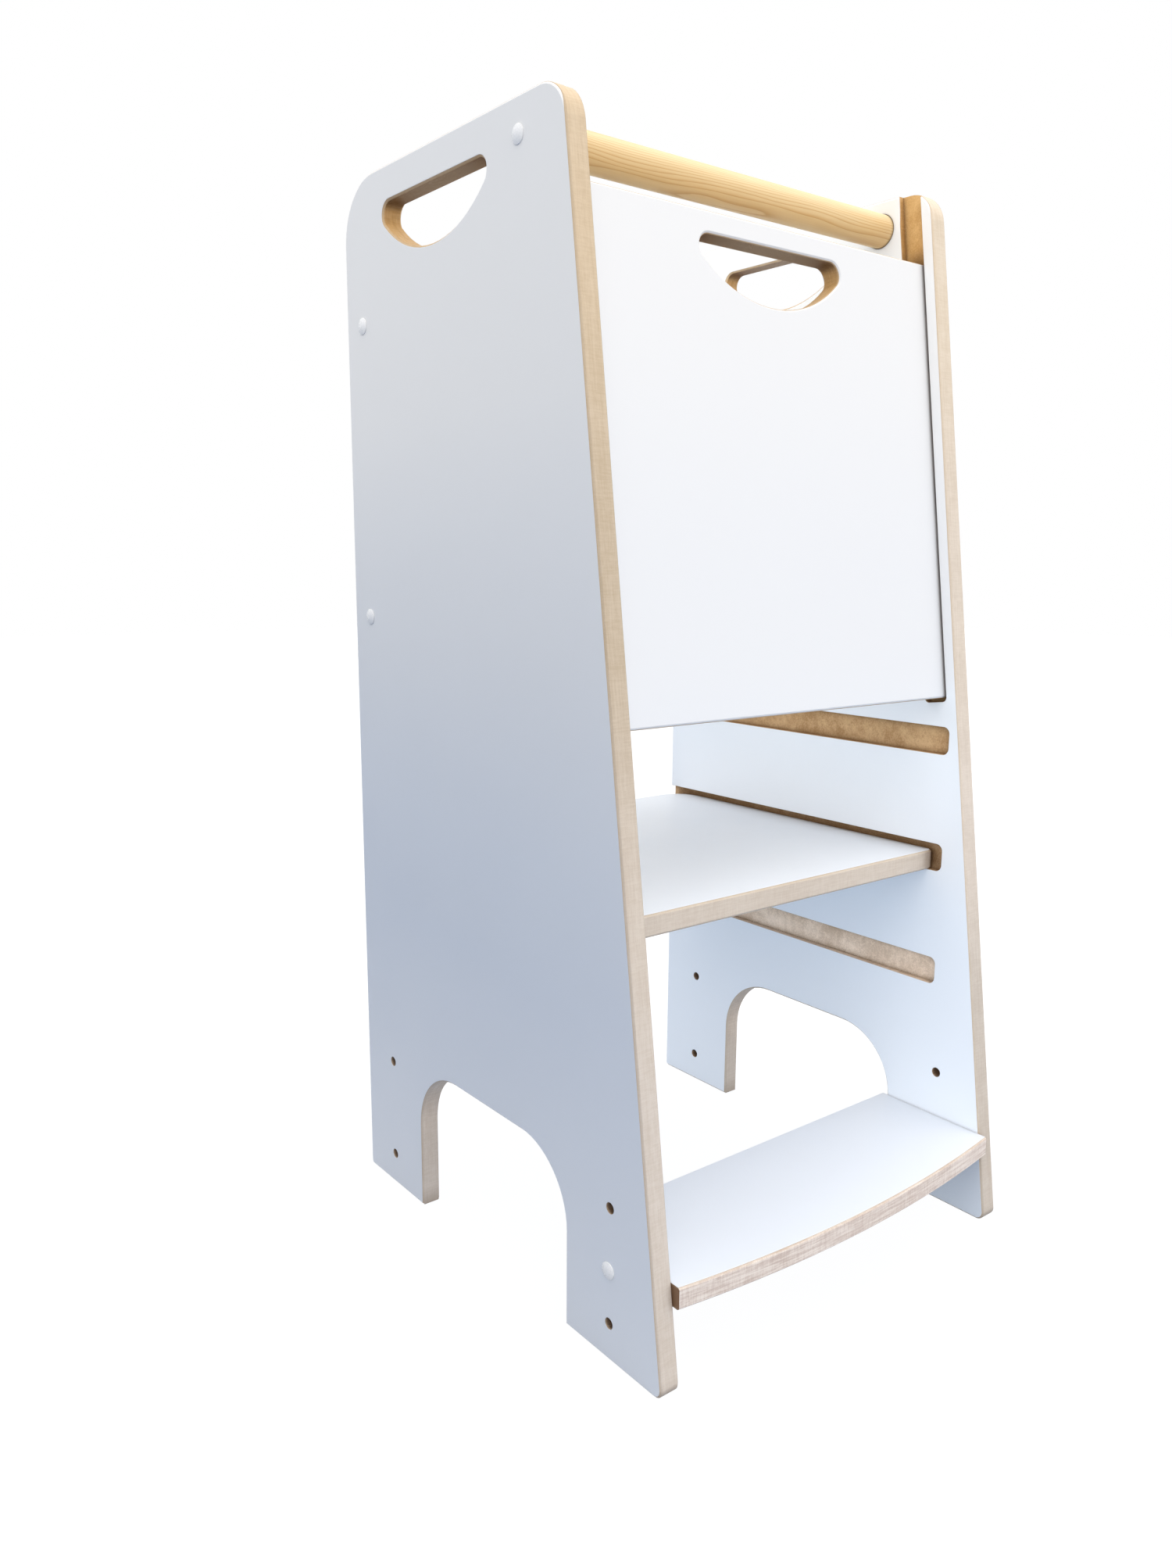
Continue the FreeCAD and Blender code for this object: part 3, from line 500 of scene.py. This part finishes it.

# %% [markdown]
# ## The colours of the boards
#
# Raw edges are painted pale and cool near the floor and golden at the top, and the white skin is
# painted from cool to warm the same way: this is painted light, the way light falls on the tower.
# So each of these colours is a run of four, for four heights above the floor. A raw edge has a
# light run and a dark one, between which the fibre pattern plays. The right side panel's edge has
# a lighter run of its own, which is painted light too. Cut walls, in the grooves and the hand
# holes, have deeper and warmer runs of their own, partly the cut fibre's colour and partly painted
# shade inside the cuts. The step is a little pinker than the rest.

# %% Colours of the boards
HEIGHTS = (0.20, 0.34, 0.56, 0.86)
# Painted light: these edge runs change up the tower with the light, the right panel's most of all.
EDGE_RUNS_PAINTED_LIGHT = {
    "plain": (((0.70, 0.63, 0.56), (0.70, 0.62, 0.53), (0.62, 0.51, 0.38), (0.72, 0.57, 0.39)),
              ((0.61, 0.53, 0.45), (0.61, 0.52, 0.43), (0.52, 0.41, 0.28), (0.62, 0.47, 0.30))),
    "side_panel_right":
        (((0.62, 0.56, 0.49), (0.74, 0.66, 0.58), (0.74, 0.65, 0.55), (0.79, 0.68, 0.54)),
         ((0.53, 0.46, 0.39), (0.64, 0.56, 0.48), (0.64, 0.55, 0.45), (0.70, 0.58, 0.43))),
    "step_board": (((0.88, 0.80, 0.73),) * 4, ((0.60, 0.49, 0.43),) * 4),
}
# Cut walls: the cut fibre's colour with painted shade inside the cuts and painted light by height.
CUT_PALE_PAINTED_SHADE = ((1.00, 0.82, 0.66), (0.70, 0.48, 0.29), (0.56, 0.34, 0.13), (0.72, 0.46, 0.20))
CUT_DEEP_PAINTED_SHADE = ((0.66, 0.50, 0.37), (0.40, 0.24, 0.12), (0.34, 0.175, 0.055), (0.54, 0.31, 0.11))
# Painted light: the white skin, painted cool low down and warm at the top.
SKIN_WHITE_PAINTED_LIGHT = ((0.80, 0.835, 0.89), (0.80, 0.835, 0.885), (0.815, 0.83, 0.85),
              (0.855, 0.855, 0.85))
# Painted shade for the walls of the hand holes that face down.
UNDERSIDE_SHADE = (0.12, 0.054, 0.014)
# Painted shade for the step's ends.
STEP_END_SHADE = (0.26, 0.15, 0.085)
# Painted shade for corners, grooves and gaps beside other pieces.
CORNER_SHADE_COLOUR = (0.13, 0.068, 0.027)
# Painted shade over the arris of plain edges, painted light over the arris of cut walls.
ARRIS_SHADE_COLOUR = (0.45, 0.33, 0.21)
CUT_ARRIS_LIT_COLOUR = (0.72, 0.56, 0.38)
LINE_COLOUR = (0.36, 0.26, 0.17)
# Painted shadow: the grey of the thin line where two pieces meet.
SEAM_SHADOW_COLOUR = (0.22, 0.21, 0.21)
HAZE_GREY = (0.5, 0.5, 0.5)


def colour_by_height(tree, height, colours):
    """A smooth run of colours up the tower, one for each of the stops in HEIGHTS."""
    node = tree.nodes.new("ShaderNodeValToRGB")
    node.color_ramp.interpolation = "EASE"
    stops = node.color_ramp.elements
    while len(stops) < len(HEIGHTS):
        stops.new(0.5)
    for stop, place, colour in zip(stops, HEIGHTS, colours):
        stop.position = place
        stop.color = (*colour, 1)
    link(tree, height, node.inputs["Fac"])
    return node.outputs["Color"]


print("stops, millimetres above the floor:", [round(1000 * place) for place in HEIGHTS])

# %% [markdown]
# ## Starting a material
#
# Every material below starts the same way, from one Principled shader and the object
# coordinates, and ends the same way, with a bump. The frame's pieces lie in metres with their
# origin on the floor, so object coordinates are heights and distances of the real tower, and
# they travel with the piece when a joint moves. The Bevel node turns the shading over at sharp
# edges, so an arris catches a thin light without any change to the mesh.

# %% Helpers for materials
BEVEL_SAMPLES = 6


def place_group(tree, group, **sockets):
    """Put a group in a material; each socket is a number, three numbers or another socket."""
    node = tree.nodes.new("ShaderNodeGroup")
    node.node_tree = group
    for name, value in sockets.items():
        if isinstance(value, bpy.types.NodeSocket):
            link(tree, value, node.inputs[name])
        else:
            node.inputs[name].default_value = value
    return node


def new_material(name):
    """A material with its shader and the coordinates of the surface."""
    material = bpy.data.materials.new(name)
    material.use_nodes = True
    tree = material.node_tree
    shader = next(node for node in tree.nodes if node.type == "BSDF_PRINCIPLED")
    coordinates = tree.nodes.new("ShaderNodeTexCoord")
    return material, tree, shader, coordinates.outputs


def split_axes(tree, vector):
    """The X, Y and Z of a vector, by letter."""
    node = tree.nodes.new("ShaderNodeSeparateXYZ")
    link(tree, vector, node.inputs[0])
    return node.outputs


def blend_numbers(tree, factor, first, second):
    """Mix two numbers, each a socket."""
    node = tree.nodes.new("ShaderNodeMix")
    for value, slot in ((factor, "Factor"), (first, "A"), (second, "B")):
        link(tree, value, node.inputs[slot])
    return node.outputs["Result"]


def add_bump(tree, shader, height, distance, rounding=0.0):
    """Feed a height to a Bump node; rounding, in metres, also softens the arrises."""
    node = tree.nodes.new("ShaderNodeBump")
    node.inputs["Distance"].default_value = distance
    link(tree, height, node.inputs["Height"])
    if rounding:
        soften = tree.nodes.new("ShaderNodeBevel")
        soften.samples = BEVEL_SAMPLES
        soften.inputs["Radius"].default_value = rounding
        link(tree, soften.outputs["Normal"], node.inputs["Normal"])
    link(tree, node.outputs["Normal"], shader.inputs["Normal"])


def dress(name, material):
    """Give a piece of the frame its finish."""
    slots = nodes[name].data.materials
    slots.clear()
    slots.append(material)


print("pieces to dress:", len(nodes))

# %% [markdown]
# ## Finding nooks
#
# Shade falls where walls close in and where two boards meet, and the materials paint it in as
# darker colour: painted shade in corners and a thin painted shadow line at the joints. The Ambient
# Occlusion node measures how open a point is within a short reach.
# With own_walls it looks at the walls of the same piece only, which finds grooves and hand holes
# wherever the piece goes. Without it, it sees the other pieces too, and so finds the joints
# between them. Each row below gives a reach in metres and the two openness values between which
# the mask goes from full to none.

# %% Nooks
AO_SAMPLES = 5
CUT_WALL = (0.09, 0.88, 0.995)
TIGHT_CORNER = (0.012, 0.25, 0.85)
CLOSE_BY = (0.018, 0.45, 0.95)
BOARD_SEAM = (0.004, 0.45, 0.80)
RAIL_SEAM = (0.004, 0.50, 0.85)
BESIDE_FULL = 0.45


def enclosed(tree, reach, shut, open_air, own_walls=True):
    """From 1 where walls close in within a reach, to 0 in the open."""
    nook = tree.nodes.new("ShaderNodeAmbientOcclusion")
    nook.only_local = own_walls
    nook.samples = AO_SAMPLES
    nook.inputs["Distance"].default_value = reach
    return ramp(tree, nook.outputs["AO"], shut, open_air, 1.0, 0.0)


# Painted shade: a mask of corners and joints, where shade falls.
def painted_corner_shade(tree):
    """1 in a tight corner of the board itself and beside another piece, 0 in the open."""
    beside = maths(tree, "SUBTRACT", enclosed(tree, *CLOSE_BY, own_walls=False),
                   enclosed(tree, *CLOSE_BY))
    return maths(tree, "MAXIMUM", enclosed(tree, *TIGHT_CORNER),
                 ramp(tree, beside, 0.0, BESIDE_FULL))


print("longest reach, millimetres:", 1000 * CUT_WALL[0])

# %% [markdown]
# ## The raw edge
#
# The raw edge is built up in layers. First comes the pressed fibre in the colours of its height,
# which carry painted light, then painted shade on the undersides of the hand holes and on the ends
# of the step, then painted shade in the corners and beside other pieces, and last the arris,
# painted darker on plain edges and lighter along cut walls, and the thin line under the skin.

# %% Raw edge of a board
BANDS = {"step_board": 0.62}
PLAIN_BANDS = 0.34
# Painted shade: which faces and heights count as hand-hole undersides.
UNDERSIDE_SHADE_FACES = (-0.95, -0.35, 0.92, 0.0)
UNDERSIDE_SHADE_HEIGHTS = (0.60, 0.70)
# Painted shade: how far a face must turn sideways to count as an end of the step.
STEP_END_SHADE_FACES = (0.85, 0.95)
# Painted shade: how strong the corner shade is on plain edges and in the cut walls.
CORNER_SHADE_ON_EDGE, CORNER_SHADE_IN_CUT = 0.35, 0.95
# How strong the painted shade and light over the arris are.
ARRIS_PAINT_SHARE = 0.45
LINE_SHARE = 0.45


def masked(tree, mask, share, under, over):
    """Lay a colour over another through a mask, at a share of its strength."""
    return blend_colours(tree, maths(tree, "MULTIPLY", mask, share), under, over)


def raw_edge(tree, name, coordinates, layers, cut):
    """The colour of a board's raw edge and its relief."""
    position = coordinates["Object"]
    height = split_axes(tree, position)["Z"]
    facing = split_axes(tree, coordinates["Normal"])
    plain_light, plain_dark = EDGE_RUNS_PAINTED_LIGHT.get(name, EDGE_RUNS_PAINTED_LIGHT["plain"])
    # The height runs carry painted light, and those of the cut walls also painted shade.
    light = blend_colours(tree, cut, colour_by_height(tree, height, plain_light),
                          colour_by_height(tree, height, CUT_PALE_PAINTED_SHADE))
    dark = blend_colours(tree, cut, colour_by_height(tree, height, plain_dark),
                         colour_by_height(tree, height, CUT_DEEP_PAINTED_SHADE))
    fibre = place_group(tree, fibre_group, Position=position, Axis=BOARD_AXES[name],
                        Light=light, Dark=dark, Bands=BANDS.get(name, PLAIN_BANDS))
    # Painted shade: high cut walls that face down, in the hand holes, are painted dark brown.
    high_cut = maths(tree, "MULTIPLY", cut, ramp(tree, height, *UNDERSIDE_SHADE_HEIGHTS))
    raw = masked(tree, ramp(tree, facing["Z"], *UNDERSIDE_SHADE_FACES), high_cut,
                 fibre.outputs["Color"], UNDERSIDE_SHADE)
    # Painted shade: the step's ends, which face sideways, are painted dark brown.
    if name == "step_board":
        end = ramp(tree, maths(tree, "ABSOLUTE", facing["X"]), *STEP_END_SHADE_FACES)
        raw = blend_colours(tree, end, raw, STEP_END_SHADE)
    # Painted shade in corners and beside other pieces, dark brown, stronger in the cut walls.
    raw = masked(tree, painted_corner_shade(tree),
                 ramp(tree, cut, 0.0, 1.0, CORNER_SHADE_ON_EDGE, CORNER_SHADE_IN_CUT), raw, CORNER_SHADE_COLOUR)
    # Painted shade over the arris of plain edges, painted light over the arris of cut walls.
    raw = masked(tree, layers.outputs["Arris"], ARRIS_PAINT_SHARE, raw,
                 blend_colours(tree, cut, ARRIS_SHADE_COLOUR, CUT_ARRIS_LIT_COLOUR))
    raw = masked(tree, layers.outputs["Line"], LINE_SHARE, raw, LINE_COLOUR)
    return raw, fibre.outputs["Height"]


print("boards with bands of their own:", list(BANDS))

# %% [markdown]
# ## The faced board
#
# The material puts everything together. The white skin is a smooth melamine film: satin, with a
# very fine even texture and a faint change of gloss where hands and feet go. The raw edge is
# lacquered but still drier than the skin, and a fresh cut hardly shines at all. On the guard and
# the back panel, and along the top of the side panels, the white is painted a little further round
# the arris, a painted highlight where the top light catches these arrises.

# %% Material: faced board
# Painted highlight: how much further round the arris the white is painted.
WHITE_ARRIS_HIGHLIGHT = {"guard_panel": 0.0009, "back_panel": 0.0009}
WHITE_TOP_ARRIS_HIGHLIGHT = 0.0011
TOP_EDGE = (0.885, 0.900)
HAZE_SCALE, HAZE_SHARE = 6, 0.03
SEAM_SHADOW_SHARE = 0.45
HANDLED_SCALE, HANDLED_SPREAD = 17, (0.35, 0.7)
SKIN_ROUGH = (0.34, 0.42)
EDGE_SPREAD, EDGE_ROUGH = (0.2, 0.8), (0.50, 0.66)
SHINE, CUT_SHINE = 0.5, 0.1
PEEL_SCALE, PEEL_SHARE = 900, 0.12
BOARD_RELIEF = 0.00006
BOARD_ROUNDING = 0.0009


def faced_board(name):
    """The material of one board."""
    middle, half = board_planes[name]
    material, tree, shader, coordinates = new_material(f"{name}_board")
    position = coordinates["Object"]
    height = split_axes(tree, position)["Z"]
    # Painted highlight: the white reaches further round the arris on the guard, the back panel and
    # the side panels' tops.
    skin_reach = half - WHITE_ARRIS_HIGHLIGHT.get(name, 0)
    if name.startswith("side"):
        skin_reach = ramp(tree, height, *TOP_EDGE, half, half - WHITE_TOP_ARRIS_HIGHLIGHT)
    layers = place_group(tree, faces_group, Position=position, Normal=coordinates["Normal"],
                         Axis=BOARD_AXES[name], Middle=middle, Half=skin_reach)
    on_skin = layers.outputs["Skin"]
    cut = maths(tree, "MAXIMUM", layers.outputs["Routed"], enclosed(tree, *CUT_WALL))
    raw, relief = raw_edge(tree, name, coordinates, layers, cut)

    # The skin's white runs up the tower as painted light, under a faint random haze.
    film = masked(tree, noise(tree, position, HAZE_SCALE, 3), HAZE_SHARE,
                  colour_by_height(tree, height, SKIN_WHITE_PAINTED_LIGHT), HAZE_GREY)
    # Painted shadow: a thin grey line on the skin where another piece stands close.
    film = masked(tree, enclosed(tree, *BOARD_SEAM, own_walls=False), SEAM_SHADOW_SHARE, film,
                  SEAM_SHADOW_COLOUR)
    link(tree, blend_colours(tree, on_skin, raw, film), shader.inputs["Base Color"])

    handled = ramp(tree, noise(tree, position, HANDLED_SCALE, 4), *HANDLED_SPREAD, *SKIN_ROUGH)
    dry = ramp(tree, relief, *EDGE_SPREAD, *EDGE_ROUGH)
    link(tree, blend_numbers(tree, on_skin, dry, handled), shader.inputs["Roughness"])
    bare = maths(tree, "MULTIPLY", cut, maths(tree, "SUBTRACT", 1.0, on_skin))
    link(tree, ramp(tree, bare, 0.0, 1.0, SHINE, CUT_SHINE),
         shader.inputs["Specular IOR Level"])

    peel = maths(tree, "MULTIPLY", noise(tree, position, PEEL_SCALE, 1), PEEL_SHARE)
    add_bump(tree, shader, blend_numbers(tree, on_skin, relief, peel), BOARD_RELIEF,
             rounding=BOARD_ROUNDING)
    return material


for name in BOARD_AXES:
    dress(name, faced_board(name))
print("boards dressed:", len(BOARD_AXES))

# %% [markdown]
# ## The pine rail
#
# A turned rail shows growth rings cut lengthwise. The surest way to have them right is to model
# the log: rings are cylinders about a pith line, and the rail is cut out of the log at some
# distance from it. The distance from the pith gives the ring, whatever the surface does, so the
# streaks follow the round rail by themselves and the ends show true end grain.

# %% Material: pine
PITH_BESIDE = Vector((0, 0.017, 0.036))
PITH_DRIFT = Vector((0, 0.014, -0.006))
RING = 0.0016
WARP_SQUEEZE, WARP = (4.5, 34, 34), 0.0095
LATE_WOOD = 4.0
RING_END = (0.93, 1.0)
FIBRE_SQUEEZE = (30, 900, 900)
BROAD_SQUEEZE = (3, 60, 60)
PINE_EARLY = (0.90, 0.74, 0.44)
PINE_LATE = (0.60, 0.31, 0.075)
PINE_WARM = (0.80, 0.51, 0.20)
# Painted shadow for the gap where the rail enters a side panel.
RAIL_SEAM_SHADE = (0.16, 0.085, 0.045)
# Painted shade: how far up the rail's lower side reaches, and how strong it is.
LOWER_SIDE_REACH = (-0.050, -0.020)
LOWER_SIDE_SHARE = 0.75
FLUSH_SPREAD, FLUSH_SHARE = (0.42, 0.72), 0.75
BITE_SPREAD, BITE_SHARE = (0.0, 0.8), (0.55, 0.95)
STREAK_SPREAD, STREAK_SHARE = (0.3, 0.8), 0.14
RAIL_SEAM_SHADE_SHARE = 0.7
PINE_SPREAD, PINE_ROUGH = (0.2, 0.8), (0.36, 0.50)
RING_RELIEF = 0.8
PINE_RELIEF = 0.00008


def squeezed_noise(tree, position, squeeze, detail=2.0, rough=0.5):
    """Noise with a scale of its own along each axis."""
    node = tree.nodes.new("ShaderNodeMapping")
    node.inputs["Scale"].default_value = squeeze
    link(tree, position, node.inputs["Vector"])
    return noise(tree, node.outputs[0], 1.0, detail, rough)


rail_low, rail_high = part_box("handrail")
pith = (rail_low + rail_high) / 2 + PITH_BESIDE
material, tree, shader, coordinates = new_material("turned_pine")
position = coordinates["Object"]
split = split_axes(tree, position)


def from_pith(letter, index):
    """Distance from the pith line along one axis, as the rail runs slightly across the grain."""
    drift = maths(tree, "MULTIPLY", split["X"], PITH_DRIFT[index])
    return maths(tree, "SUBTRACT", maths(tree, "SUBTRACT", split[letter], pith[index]), drift)


away_y, away_z = from_pith("Y", 1), from_pith("Z", 2)
squares = maths(tree, "ADD", maths(tree, "MULTIPLY", away_y, away_y),
                maths(tree, "MULTIPLY", away_z, away_z))
warp = maths(tree, "MULTIPLY", squeezed_noise(tree, position, WARP_SQUEEZE), WARP)
radius = maths(tree, "ADD", maths(tree, "SQRT", squares), warp)
phase = maths(tree, "FRACT", maths(tree, "DIVIDE", radius, RING))
late = maths(tree, "MULTIPLY", maths(tree, "POWER", phase, LATE_WOOD),
             ramp(tree, phase, *RING_END, 1.0, 0.0))
print("pith line, millimetres:", [round(1000 * place, 1) for place in pith])

# %% [markdown]
# The rings alone would look printed. The pine flushes with warmth here and there, and fine fibres
# streak it from end to end. Its lower side is painted warmer, with darker late wood, as painted
# shade. A thin dark ring is painted where the rail enters a side panel, a painted shadow in the
# gap.

# %% Colour of the pine
fibres = squeezed_noise(tree, position, FIBRE_SQUEEZE, 3, 0.6)
broad = squeezed_noise(tree, position, BROAD_SQUEEZE)
# Painted shade: the lower side of the rail is painted warmer and its late wood darker.
lower_side_shade = ramp(tree, away_z, *LOWER_SIDE_REACH, 1.0, 0.0)
warmth = maths(tree, "MAXIMUM", ramp(tree, broad, *FLUSH_SPREAD, 0.0, FLUSH_SHARE),
               maths(tree, "MULTIPLY", lower_side_shade, LOWER_SIDE_SHARE))
wood = blend_colours(tree, warmth, PINE_EARLY, PINE_WARM)
wood = masked(tree, late, ramp(tree, lower_side_shade, *BITE_SPREAD, *BITE_SHARE), wood, PINE_LATE)
wood = blend_colours(tree, ramp(tree, fibres, *STREAK_SPREAD, 0.0, STREAK_SHARE), wood, PINE_LATE)
# Painted shadow: a dark ring where the rail enters a side panel.
wood = masked(tree, enclosed(tree, *RAIL_SEAM, own_walls=False), RAIL_SEAM_SHADE_SHARE, wood, RAIL_SEAM_SHADE)
link(tree, wood, shader.inputs["Base Color"])
link(tree, ramp(tree, fibres, *PINE_SPREAD, *PINE_ROUGH), shader.inputs["Roughness"])
add_bump(tree, shader, maths(tree, "ADD", fibres, maths(tree, "MULTIPLY", late, RING_RELIEF)),
         PINE_RELIEF)
dress("handrail", material)
print("rail, millimetres:", [round(1000 * size, 1) for size in rail_high - rail_low])

# %% [markdown]
# ## Small hardware
#
# The caps are moulded in white plastic, slightly glossier and whiter than the boards. Their
# colour, gloss and relief each follow a noise of their own, all too fine to show from a step
# away, which keeps the plastic from looking like a flat fill.

# %% Material: caps
CAP_COLOURS = (0.93, 0.93, 0.93), (0.89, 0.89, 0.89)
CAP_ROUGH = (0.24, 0.34)
CAP_MOTTLE, CAP_SHEEN, CAP_GRAIN = 240, 700, 1200
CAP_RELIEF = 0.00001
EVEN_SPREAD = (0.3, 0.7)


def dress_all(word, material):
    """Give the same finish to every piece with a word in its name."""
    for name in nodes:
        if word in name:
            dress(name, material)


material, tree, shader, coordinates = new_material("white_cap")
position = coordinates["Object"]
link(tree, blend_colours(tree, noise(tree, position, CAP_MOTTLE, 2), *CAP_COLOURS),
     shader.inputs["Base Color"])
link(tree, ramp(tree, noise(tree, position, CAP_SHEEN, 3), *EVEN_SPREAD, *CAP_ROUGH),
     shader.inputs["Roughness"])
add_bump(tree, shader, noise(tree, position, CAP_GRAIN, 2), CAP_RELIEF)
dress_all("_cap", material)
print("caps:", [name for name in nodes if "_cap" in name])

# %% [markdown]
# The screws are bright zinc plate over turned steel. They are out of sight in use, but they show
# when the tower is taken apart. Noise that is squeezed along the screw gives the lathe's rings.

# %% Material: screws
ZINC_COLOURS = (0.66, 0.67, 0.69), (0.54, 0.56, 0.58)
ZINC_ROUGH = (0.22, 0.38)
ZINC_MOTTLE = 300
LATHE_SQUEEZE = (2600, 160, 160)
ZINC_RELIEF = 0.00002

material, tree, shader, coordinates = new_material("zinc_plate")
position = coordinates["Object"]
lathe = squeezed_noise(tree, position, LATHE_SQUEEZE)
link(tree, blend_colours(tree, noise(tree, position, ZINC_MOTTLE, 3), *ZINC_COLOURS),
     shader.inputs["Base Color"])
shader.inputs["Metallic"].default_value = 1.0
link(tree, ramp(tree, lathe, *EVEN_SPREAD, *ZINC_ROUGH), shader.inputs["Roughness"])
add_bump(tree, shader, lathe, ZINC_RELIEF)
dress_all("_screw", material)
print("screws:", [name for name in nodes if "_screw" in name])

# %% [markdown]
# The pins are plain beech: short brown flecks along the pin on a pale ground, and no rings.

# %% Material: pins
BEECH_COLOURS = (0.72, 0.53, 0.35), (0.50, 0.32, 0.19)
BEECH_SPREAD, BEECH_ROUGH = (0.2, 0.8), (0.55, 0.7)
BEECH_SQUEEZE = (120, 1500, 1500)
FLECK_SPREAD = (0.35, 0.75)
BEECH_RELIEF = 0.00005

material, tree, shader, coordinates = new_material("beech_pin")
flecks = squeezed_noise(tree, coordinates["Object"], BEECH_SQUEEZE, 3, 0.6)
link(tree, blend_colours(tree, ramp(tree, flecks, *FLECK_SPREAD), *BEECH_COLOURS),
     shader.inputs["Base Color"])
link(tree, ramp(tree, flecks, *BEECH_SPREAD, *BEECH_ROUGH), shader.inputs["Roughness"])
add_bump(tree, shader, flecks, BEECH_RELIEF)
dress_all("_dowels", material)
print("finished pieces:", sum(1 for piece in nodes.values() if piece.data.materials))
